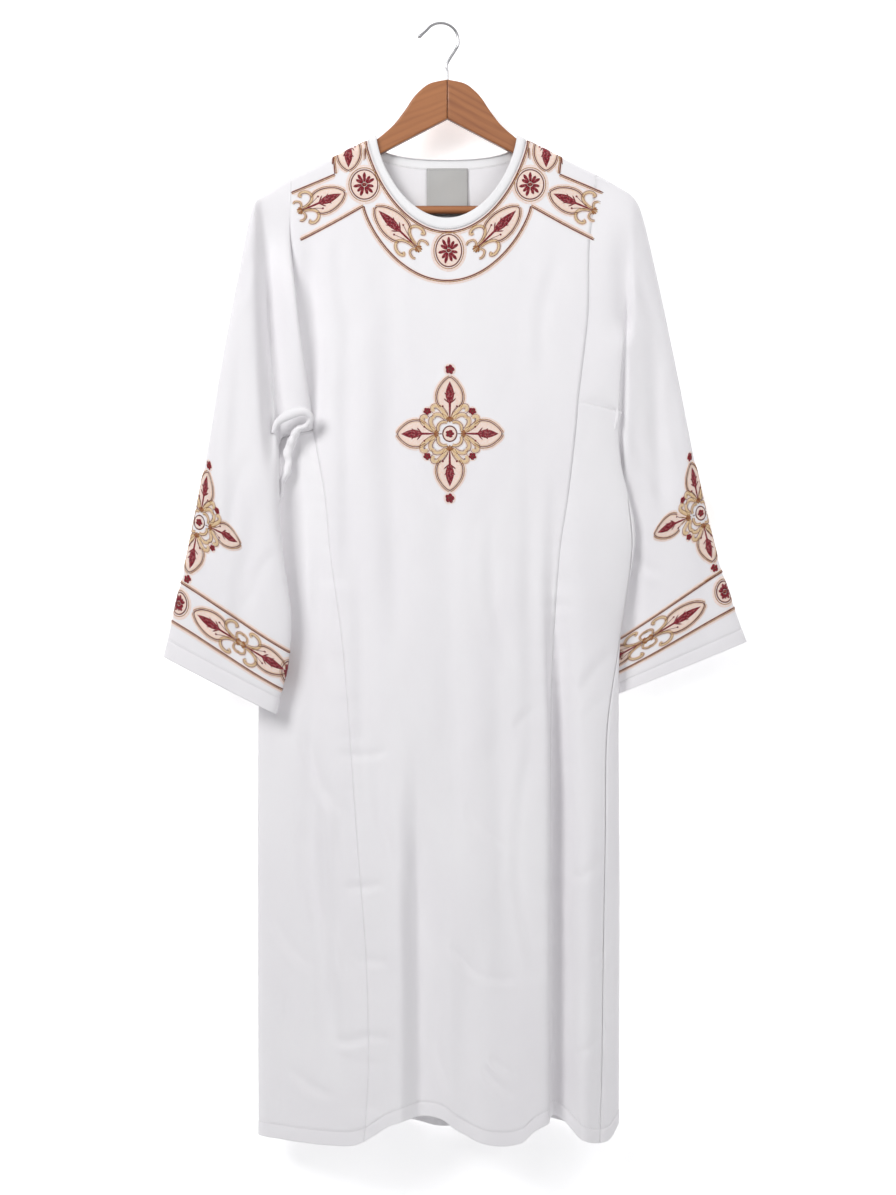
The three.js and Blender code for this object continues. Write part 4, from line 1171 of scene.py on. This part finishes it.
# the strokes as raised ribbons on the cloth. place gives points and normals on it
def sewOn(name, strokes, place):
    points, faces, uvs, picks, offset = [], [], [], [], 0
    for one in strokes:
        path, half = one["path"], one["half"]
        wide = half.max() * 2
        columns = 4 if wide < 3 else (6 if wide < 9 else int(wide / 2.2) + 3)
        across = np.linspace(-1, 1, columns)
        flat = path[:, None] + rightward(path)[:, None] * (half[:, None] * across)[..., None]
        spots, normals = place(flat.reshape(-1, 2))
        rise = one["height"] * np.sqrt(np.maximum(1 - np.abs(across) ** 2.4, 0))
        lift = 0.34 + np.where(np.abs(across) > 0.999, -0.55 if one["height"] > 0.3 else -0.2, rise)
        lift = np.broadcast_to(lift, (len(path), columns)).reshape(-1, 1)
        spots = (spots + normals * lift).reshape(len(path), columns, 3)
        uv = np.stack(np.broadcast_arrays(wayAlong(path)[:, None], half[:, None] * across), -1) * mm
        r, c = np.meshgrid(np.arange(len(path) - 1), np.arange(columns - 1), indexing="ij")
        corners = [(r, c), (r, c + 1), (r + 1, c + 1), (r + 1, c)]
        faces.append(np.stack([i * columns + j for i, j in corners], -1).reshape(-1, 4) + offset)
        uvs.append(np.stack([uv[i, j] for i, j in corners], 2).reshape(-1, 4, 2))
        picks.append(np.full(r.size, threadNames.index(one["thread"])))
        points.append(spots.reshape(-1, 3))
        offset += len(path) * columns
    points, faces, uvs = np.concatenate(points), np.concatenate(faces), np.concatenate(uvs)
    # faces look away from the cloth
    first, second, third = [points[faces[:, k]] for k in range(3)]
    facing = np.cross(second - first, third - first)
    wrong = (facing * place.outward(points[faces].mean(1))).sum(1) < 0
    faces[wrong], uvs[wrong] = faces[wrong][:, ::-1], uvs[wrong][:, ::-1]
    piece = meshObject(name, points, faces, [threads[thread] for thread in threadNames],
                       np.concatenate(picks), {"cloth": uvs})
    return piece


# X and Z on the body, seen from the front; above the shoulder they carry on down the back
class BodyPlace:
    def __init__(self, way):
        self.way = way

    def __call__(self, flat):
        x, z = flat[:, 0], flat[:, 1]
        down = shoulderTop(x) - z
        over, away = down < 0, np.abs(down)
        power, size = bodyShape["ridgePower"], bodyShape["round"]
        # close to the ridge the design runs round it, evenly
        out = np.sin(np.minimum(away / size, 1) * math.pi / 2)
        rest = np.maximum(1 - out ** power, 0) ** (1 / power)
        below = np.where(away < size, size * (1 - rest), away)
        folded = shoulderTop(x) - below

        def surface(dx, dz):
            near, far = [bodySurface(x + dx, folded + dz, way) for way in (self.way, -self.way)]
            return np.where(over[:, None], far, near)

        step = 0.6
        across = surface(step, 0) - surface(-step, 0)
        lower = surface(0, -step) - surface(0, step)
        normals = np.cross(lower, across)
        faceWay = np.where(over, -self.way, self.way)
        normals = unit(normals * np.where(normals[:, 1] * faceWay < 0, -1, 1)[:, None])
        up = rest ** (power - 1) / size
        sideways = np.sign(x) * bodyShape["slope"] * up
        rounded = unit(np.stack([sideways, faceWay * out ** (power - 1) / bodyShape["front"][0], up], -1))
        share = ease(away / size - 0.4)[:, None]
        return surface(0, 0), unit(mix(rounded, normals, share))

    def outward(self, middles):
        side = np.clip(middles[:, 1] / 6, -1, 1)
        return np.stack([0 * side, side, np.maximum(1 - np.abs(side), 0.1)], -1)


# distance from the outer fold (towards the front) and up from the cuff, on a sleeve
class SleevePlace:
    def __init__(self, side):
        self.points = sleevePoints[side]
        self.normals = gridNormals(self.points, closed=True, flip=side == "right")
        steps = np.linalg.norm(np.roll(self.points, -1, 1) - self.points, axis=-1)
        self.around = np.concatenate([np.zeros((len(steps), 1)), np.cumsum(steps, 1)], 1)
        self.up = wayAlong(self.points[::-1, 0])      # from the cuff

    def __call__(self, flat):
        rows, cols = self.points.shape[:2]
        rowAt = rows - 1 - np.interp(flat[:, 1], self.up, np.arange(rows))
        r0 = np.clip(np.floor(rowAt).astype(int), 0, rows - 2)
        f = (rowAt - r0)[:, None]
        lengths = mix(self.around[r0], self.around[r0 + 1], f)
        s = np.mod(flat[:, 0], lengths[:, -1])
        c0 = np.clip((lengths <= s[:, None]).sum(1) - 1, 0, cols - 1)
        index = np.arange(len(s))
        start, end = lengths[index, c0], lengths[index, c0 + 1]
        g = ((s - start) / np.maximum(end - start, 1e-9))[:, None]
        c1 = (c0 + 1) % cols
        spots, normals = [mix(mix(a[r0, c0], a[r0, c1], g), mix(a[r0 + 1, c0], a[r0 + 1, c1], g), f)
                          for a in (self.points, self.normals)]
        return spots, unit(normals)

    def outward(self, middles):
        found = np.empty_like(middles)
        flatPoints, flatNormals = self.points.reshape(-1, 3), self.normals.reshape(-1, 3)
        for begin in range(0, len(middles), 400):
            part = middles[begin:begin + 400]
            near = ((part[:, None] - flatPoints[None, ::3]) ** 2).sum(-1).argmin(1) * 3
            found[begin:begin + 400] = flatNormals[near]
        return found


yoke = {
    "lineFromBinding": 3.0, "cornerX": 115, "cornerZ": -252, "outerDrop": 103, "outerFullness": 0.75,
    "backOuterDrop": 26, "upperLine": [(-216, -233), (-155, -207.5)],
    "lowerLine": [(-203, -299), (-158, -276)], "step": (-158.5, -184),
    "rosette": (-114.5, -222), "rosetteSize": (21.4, 23.2), "middleRosette": (2, -313.5),
    "middleSize": (20.6, 25.2), "neckBud": ((-38, -313), (-99, -254)), "neckBudWide": 34,
    "shoulderBud": ((-205.5, -259), (-142, -233)), "shoulderBudWide": 33,
    "overBud": {"x": -136.5, "reach": 30, "behind": 28, "wide": 33},
    "backRosette": (0, -238), "backRosetteSize": (18, 20), "backBud": (58, 26), "backBudAway": 28,
}


def doubleLine(path, side, closed=False):
    return [stroke(besidePath(path, side * 1.8), 3.8, "halo", 0.10, ends=not closed),
            stroke(besidePath(path, side * 2.0), 1.05, "gold", 0.6, ends=not closed),
            stroke(path, 1.25, "brown", 0.8, ends=not closed)]


def yokeDesign(way):
    sizes = yoke
    found = []
    turns = np.linspace(-88.5, 88.5, 190)
    seam = neckSeam if way < 0 else backNeckSeam
    x, z = neckPoint(seam, turns, -sizes["lineFromBinding"])
    z = np.where(np.abs(turns) > 84, z + 6 * (np.abs(turns) - 84), z)
    inner = np.stack([x, z], -1)
    found += doubleLine(inner, 1)
    drop = sizes["outerDrop"] if way < 0 else sizes["backOuterDrop"]
    turn = np.radians(np.linspace(-90, 90, 150))
    outer = np.stack([sizes["cornerX"] * np.sin(turn),
                      sizes["cornerZ"] - drop * np.cos(turn) ** (2 * sizes["outerFullness"])], -1)
    for sign in (-1, 1):
        corner = (sign * sizes["cornerX"], sizes["cornerZ"])
        lower = smoothPath([(-sign * px, pz) for px, pz in sizes["lowerLine"]] + [corner])
        found += doubleLine(lower, sign)
        upper = smoothPath([(-sign * px, pz) for px, pz in sizes["upperLine"]])
        found += doubleLine(upper, -sign)
        found += doubleLine(smoothPath([upper[-1], (-sign * sizes["step"][0], sizes["step"][1] + 12)]), -sign)
        foot, tip = [np.array([-sign * px, pz]) for px, pz in sizes["shoulderBud"]]
        found += budBetween(foot, tip, sizes["shoulderBudWide"])
        place = (-sign * sizes["rosette"][0], sizes["rosette"][1])
        found += setDown(rosette(*sizes["rosetteSize"]), place, math.pi / 2)
        if way < 0:
            over = sizes["overBud"]
            start = (-sign * over["x"], float(shoulderTop(over["x"])) + over["behind"])
            found += setDown(bud(over["behind"] + over["reach"], over["wide"]), start, -math.pi / 2)
            foot, tip = [np.array([-sign * px, pz]) for px, pz in sizes["neckBud"]]
            found += budBetween(foot, tip, sizes["neckBudWide"])
    found += doubleLine(outer, 1)
    if way < 0:
        found += setDown(rosette(*sizes["middleSize"]), sizes["middleRosette"], math.pi / 2)
    else:
        found += setDown(rosette(*sizes["backRosetteSize"]), sizes["backRosette"], math.pi / 2)
        for sign in (-1, 1):
            place = (sign * sizes["backBudAway"], sizes["backRosette"][1])
            found += setDown(bud(*sizes["backBud"]), place, 0 if sign > 0 else math.pi)
    return found


chestCross = {"place": (3.5, -567), "upX": 72, "upZ": 78}
cuffBand = {"lower": (51, 39), "upper": (104, 95), "crossUp": 190, "crossIn": 17, "crossHigh": 71,
            "foldRound": 13, "medallionAt": 13, "medallionSize": (15.5, 17.5), "budWide": 33,
            "right": {"tip": 34, "knot": 124, "reach": 90, "lean": 0.45},
            "left": {"tip": 25, "knot": 99, "reach": 76, "lean": 0.36}}


def cuffDesign(side, place):
    sizes = cuffBand
    wholeWay = float(place.around[-4, -1])
    found = []
    s = np.linspace(0, wholeWay, 340)
    lean = (1 - np.cos(2 * math.pi * s / wholeWay)) / 2
    for level, goldSide in ((sizes["lower"], 1), (sizes["upper"], -1)):
        line = np.stack([s, mix(level[0], level[1], lean)], -1)
        found += doubleLine(line, goldSide, closed=True)

    def mid(at):
        share = (1 - math.cos(2 * math.pi * at / wholeWay)) / 2
        return np.array([at, (mix(*sizes["lower"], share) + mix(*sizes["upper"], share)) / 2])

    for turn in (sizes["medallionAt"], wholeWay / 2):
        found += setDown(rosette(*sizes["medallionSize"]), mid(turn), math.pi / 2)
    for sign in (1, -1):
        tip, knot = [sign * (sizes[side][end] + sizes["foldRound"]) for end in ("tip", "knot")]
        second = 2 * knot - tip + sign * 2
        for a, b in ((knot, tip), (knot + sign * 3, second)):
            found += budBetween(mid(a), mid(b), sizes["budWide"])
    # the cross hangs straighter than the rings of the sleeve, on both faces
    cross = crossDesign(sizes[side]["reach"], sizes["crossHigh"])
    for one in setDown(cross, (sizes["crossIn"], sizes["crossUp"]), math.pi / 2):
        path = one["path"]
        away = np.sqrt(path[:, 0] ** 2 + 36) - 6
        found.append({**one, "path": np.stack([path[:, 0], path[:, 1] + sizes[side]["lean"] * away], -1)})
    return found


frontPlace, backPlace = BodyPlace(front), BodyPlace(back)
sewOn("yoke_embroidery_front", yokeDesign(front), frontPlace)
sewOn("yoke_embroidery_back", yokeDesign(back), backPlace)
cross = crossDesign(chestCross["upX"], chestCross["upZ"])
sewOn("chest_cross_embroidery", setDown(cross, chestCross["place"], math.pi / 2), frontPlace)
for side in ("left", "right"):
    sleevePlace = SleevePlace(side)
    sewOn("sleeve_" + side + "_embroidery", cuffDesign(side, sleevePlace), sleevePlace)
print("embroidery sewn on")


# the label

labelSizes = {"width": 57, "top": -196, "height": 66, "inside": 3.4}
# the last colour is painted shade for the stitch holes
labelSatin = {"color": (0.48, 0.468, 0.45, 1), "shade": (0.43, 0.43, 0.425, 1), "holeShade": (0.4, 0.4, 0.42, 1)}


def makeLabel():
    material, tree, shader = newMaterial("labelSatin")
    sewn = placeGroup(tree, stitchRow, Vector=uvMap(tree, "edge"), Distance=0.0025, Length=0.002)
    weave = placeGroup(tree, plainWeave, Vector=uvMap(tree, "cloth"), Spacing=0.0003, Slub=0.2)
    tone = placeGroup(tree, clothTone, Vector=uvMap(tree, "cloth"), Color=labelSatin["color"],
                      Shade=labelSatin["shade"], Scale=14.0, Weave=weave["Tone"])
    # painted shade in the stitch holes
    colour = blendColours(tree, sewn["HoleShade"], tone["Color"], labelSatin["holeShade"])
    plugAll(tree, shader.inputs, {"Base Color": colour, "Roughness": 0.38, "Anisotropic": 0.5,
                                  "Sheen Weight": 0.1})
    normal = bump(tree, shader, weave["Height"], 0.00004, 0.6)
    bump(tree, shader, sewn["Height"], 0.0003, 1.0, below=normal)
    share = np.linspace(0, 1, 26)[:, None]
    x = np.linspace(-0.5, 0.5, 24)[None] * labelSizes["width"]
    z = labelSizes["top"] - share * labelSizes["height"] + 0 * x
    points = bodySurface(x + 0 * z, z, back)
    curl = 1.6 * share ** 2 + 0.8 * share * np.sin(x / 11) + 0.35 * np.sin(share * 9 + x / 17)
    points[..., 1] -= labelSizes["inside"] + curl
    edge = np.stack([x + 0 * z, labelSizes["top"] - z], -1)
    piece = sheetObject("size_label_satin", points, edge, material, thickness=0.5)
    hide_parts("size_label")
    return piece


label = makeLabel()
print("label made")


# the hanger

# edge is the colour of the board's narrow faces: a darker stain along the edges, plus painted shade on the
# top face that looks up
hangerWood = {"light": (0.43, 0.165, 0.055, 1), "dark": (0.20, 0.057, 0.02, 1),
              "edge": (0.10, 0.03, 0.015, 1)}


def makeWood(name, turn, streak):
    material, tree, shader = newMaterial(name)
    grain = placeGroup(tree, woodGrain, Vector=stretched(tree, objectPlace(tree), (1, 1, 1), (0, turn, 0)),
                       Light=hangerWood["light"], Dark=hangerWood["dark"], Streak=streak)
    # faces that don't look front or back (top, ends, underside) turn towards the edge colour: darker stain,
    # plus painted shade on the top
    facing = splitVector(tree, tree.nodes.new("ShaderNodeNewGeometry").outputs["Normal"])
    top = calc(tree, "MULTIPLY_ADD", calc(tree, "ABSOLUTE", facing[1]), -1.6, 1.25, clamp=True)
    colour = blendColours(tree, calc(tree, "MULTIPLY", top, 0.8), grain["Color"], hangerWood["edge"])
    bump(tree, shader, grain["Height"], 0.0002, 0.35)
    plugAll(tree, shader.inputs, {"Base Color": colour, "Roughness": grain["Roughness"], "Coat Weight": 0.25,
                                  "Coat Roughness": 0.2})
    return material


leftWood = makeWood("hangerWoodLeft", math.radians(22), 0.35)
rightWood = makeWood("hangerWoodRight", math.radians(-28), 0.62)
barWood = makeWood("barWood", 0, 0.4)

armSizes = {
    "thickness": 14, "edge": 2.6, "overlap": 0.02,
    "top": [(0, -75), (24, -80.5), (39, -91.5), (49, -103), (56, -114), (64, -125), (73, -136.5), (84, -147),
            (92, -153.6), (97, -157.4), (115, -166.2), (170, -193), (224, -220), (233, -227), (236, -236)],
    "end": [(236, -261), (233, -264), (215.4, -264), (215.4, -242.7)],
    "under": [(200, -234.7), (93, -178.5), (0, -129.7)],
}


def smoothByAngle(mesh, degrees):
    mesh.polygons.foreach_set("use_smooth", np.ones(len(mesh.polygons), bool))
    mesh.set_sharp_from_angle(angle=math.radians(degrees))


def makeArm(name, sign, material, node):
    top = smoothPath([(x + armSizes["overlap"], z) for x, z in armSizes["top"]], step=4)
    outline = np.concatenate([top, armSizes["end"], armSizes["under"]])
    outline[-1, 0] = outline[0, 0]
    curve = bpy.data.curves.new(name, "CURVE")
    curve.dimensions = "2D"
    curve.fill_mode = "BOTH"
    curve.extrude = (armSizes["thickness"] / 2 - armSizes["edge"]) * mm
    curve.bevel_depth = armSizes["edge"] * mm
    curve.offset = -armSizes["edge"] * mm
    curve.bevel_resolution = 3
    spline = curve.splines.new("POLY")
    spline.points.add(len(outline) - 1)
    for point, (x, z) in zip(spline.points, outline):
        point.co = (sign * x * mm, z * mm, 0, 1)
    spline.use_cyclic_u = True
    flat = addObject(name, curve)
    mesh = bpy.data.meshes.new_from_object(flat.evaluated_get(bpy.context.evaluated_depsgraph_get()))
    bpy.data.objects.remove(flat)
    bpy.data.curves.remove(curve)
    mesh.name = name
    for vertex in mesh.vertices:      # stand the board up
        vertex.co = (vertex.co.x, -vertex.co.z, vertex.co.y)
    mesh.materials.clear()
    mesh.materials.append(material)
    piece = addObject(name, mesh)
    smoothByAngle(mesh, 38)
    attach(piece, "root")
    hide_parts(node)
    return piece


# a body turned round its length, from pairs of place and radius along a path of points
def turned(name, path, radii, material, sides=28):
    path = np.asarray(path, float)
    sideways = np.array([0.0, 1.0, 0.0])
    other = np.cross(unit(np.gradient(path, axis=0)), sideways)
    angle = np.linspace(0, 2 * math.pi, sides, endpoint=False)
    ring = (np.cos(angle)[None, :, None] * sideways + np.sin(angle)[None, :, None] * other[:, None])
    points = path[:, None] + ring * np.asarray(radii, float)[:, None, None]
    rows = len(path)
    r, c = np.meshgrid(np.arange(rows - 1), np.arange(sides), indexing="ij")
    corners = [(r, c), (r, c + 1), (r + 1, c + 1), (r + 1, c)]
    faces = np.stack([i * sides + j % sides for i, j in corners], -1).reshape(-1, 4)
    ends = [list(range(sides))[::-1], [(rows - 1) * sides + k for k in range(sides)]]
    mesh = bpy.data.meshes.new(name)
    mesh.from_pydata((points.reshape(-1, 3) * mm).tolist(), [], faces.tolist() + ends)
    mesh.materials.append(material)
    smoothByAngle(mesh, 50)
    piece = addObject(name, mesh)
    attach(piece, "root")
    return piece


barSizes = {"radius": 6, "z": -255.3, "endX": 215, "taper": 8}


def makeBar():
    end, taper = barSizes["endX"], barSizes["taper"]
    x = np.array([-end, -end + 0.8, -end + taper, 0, end - taper, end - 0.8, end])
    radii = barSizes["radius"] * np.array([0.78, 0.9, 1, 1, 1, 0.9, 0.78])
    path = np.stack([x, 0 * x, np.full(len(x), barSizes["z"])], -1)
    piece = turned("trouser_bar", path, radii, barWood)
    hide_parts("hanger_bar")
    return piece


hookSizes = {
    "wire": 2, "stem": [-74.6, -63, -52], "bendX": -9.1, "bendZ": -20.5, "bendRadius": 24.4,
    "bendFrom": -21.6, "bendTo": 152.9, "tip": (-40.2, -16.6), "tipRadius": 2.7,
    "light": (0.52, 0.52, 0.53, 1), "dull": (0.40, 0.40, 0.41, 1),
}


def makeHook():
    material, tree, shader = newMaterial("platedWire")
    smear = noiseMap(tree, objectPlace(tree), 260.0, 3)
    colour = blendColours(tree, smear, hookSizes["light"], hookSizes["dull"])
    bump(tree, shader, smear, 0.00005, 0.3)
    plugAll(tree, shader.inputs, {"Base Color": colour, "Metallic": 1.0,
                                  "Roughness": calc(tree, "MULTIPLY_ADD", smear, 0.16, 0.14)})
    angle = np.radians(np.linspace(hookSizes["bendFrom"], hookSizes["bendTo"], 26))
    bend = np.stack([hookSizes["bendX"] + hookSizes["bendRadius"] * np.cos(angle),
                     hookSizes["bendZ"] + hookSizes["bendRadius"] * np.sin(angle)], -1)
    stem = [(0, z) for z in hookSizes["stem"]]
    flat = smoothPath(stem + [tuple(p) for p in bend[::3]] + [hookSizes["tip"]], step=1.2)
    left = wayAlong(flat)[-1] - wayAlong(flat)      # the way left to the tip, which is a little ball
    ball = np.sqrt(np.clip(left / 2.6, 0.12, 1))
    radii = mix(hookSizes["wire"], hookSizes["tipRadius"], ease((9 - left) / 6)) * ball
    path = np.stack([flat[:, 0], 0 * flat[:, 0], flat[:, 1]], -1)
    piece = turned("hook_wire", path, radii, material, 20)
    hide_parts("hanger_hook")
    return piece


makeArm("hanger_wood_left", -1, leftWood, "hanger_arm_left")
makeArm("hanger_wood_right", 1, rightWood, "hanger_arm_right")
makeBar()
makeHook()
print("hanger made")


# room, light and camera

room = {"wallY": 0.0535, "floorZ": -2.1, "wall": (0.93, 0.93, 0.935, 1), "floor": (0.86, 0.86, 0.865, 1),
        "glow": 0.43, "air": (0.97, 0.97, 1.0, 1), "airStrength": 0.265}


def makePlane(name, corners, colour, glow, oneSided):
    material, tree, shader = newMaterial(name + "Paint")
    speck = noiseMap(tree, objectPlace(tree), 30.0, 3)
    darker = tuple(channel * 0.985 for channel in colour[:3]) + (1,)
    plugAll(tree, shader.inputs, {"Base Color": blendColours(tree, speck, colour, darker), "Roughness": 0.9,
                                  "Specular IOR Level": 0.1, "Emission Color": (1, 1, 1, 1),
                                  "Emission Strength": glow})
    if oneSided:      # seen only from the side that it faces
        clear = tree.nodes.new("ShaderNodeBsdfTransparent")
        choose = tree.nodes.new("ShaderNodeMixShader")
        tree.links.new(tree.nodes.new("ShaderNodeNewGeometry").outputs["Backfacing"], choose.inputs[0])
        tree.links.new(shader.outputs[0], choose.inputs[1])
        tree.links.new(clear.outputs[0], choose.inputs[2])
        tree.links.new(choose.outputs[0], tree.nodes["Material Output"].inputs["Surface"])
    mesh = bpy.data.meshes.new(name)
    mesh.from_pydata(corners, [], [(0, 1, 2, 3)])
    mesh.materials.append(material)
    plane = addObject(name, mesh)


wallY, floorZ = room["wallY"], room["floorZ"]
wallCorners = [(-4, wallY, floorZ), (4, wallY, floorZ), (4, wallY, 3), (-4, wallY, 3)]
floorCorners = [(-4, -6, floorZ), (4, -6, floorZ), (4, 4, floorZ), (-4, 4, floorZ)]
makePlane("wall", wallCorners, room["wall"], room["glow"], True)
makePlane("floor", floorCorners, room["floor"], 0, False)

lamps = {     # place, what it points at, width, height, power, spread in degrees
    "keyLamp": ((-1.8, -2.4, 0.8), (0, 0, -0.45), 1.2, 1.2, 22.6, 112),
    "fillLamp": ((2.3, -2.2, 0.5), (0, 0, -0.45), 1.8, 1.8, 12.6, 125),
    "frontLamp": ((0.4, -3.2, 0.3), (0, 0, -0.3), 1.6, 1.6, 3.7, 130),
    "topLamp": ((0.2, -1.2, 1.5), (0, 0, -0.2), 1.6, 1.0, 3.5, 150),
    "backLamp": ((0.6, 2.6, 0.8), (0, 0, -0.7), 2.4, 2.0, 36, 180),
}


def aim(thing, place, target):
    thing.location = place
    way = unit(np.subtract(target, place))
    flatWay = math.hypot(way[0], way[1])
    thing.rotation_euler = (math.atan2(flatWay, -way[2]), 0, math.atan2(way[1], way[0]) - math.pi / 2)


for name, (place, target, wide, high, power, spread) in lamps.items():
    data = bpy.data.lights.new(name, "AREA")
    data.shape = "RECTANGLE"
    data.size, data.size_y = wide, high
    data.energy = power
    data.spread = math.radians(spread)
    aim(addObject(name, data), place, target)

world = bpy.data.worlds.new("softRoom")
world.use_nodes = True
plugAll(world.node_tree, world.node_tree.nodes["Background"].inputs,
        {"Color": room["air"], "Strength": room["airStrength"]})
bpy.context.scene.world = world
bpy.context.scene.view_settings.view_transform = "Standard"

view = {"x": 0.001, "z": -0.7924, "distance": 3.6, "height": 1.6566}
cameraData = bpy.data.cameras.new("camera")
cameraData.sensor_fit = "VERTICAL"
cameraData.sensor_height = 36
cameraData.lens = cameraData.sensor_height * view["distance"] / view["height"]
cameraData.clip_end = 50
camera = addObject("camera", cameraData)
camera.location = (view["x"], -view["distance"], view["z"])
camera.rotation_euler = (math.pi / 2, 0, 0)
bpy.context.scene.camera = camera
print("room, lamps and camera set")
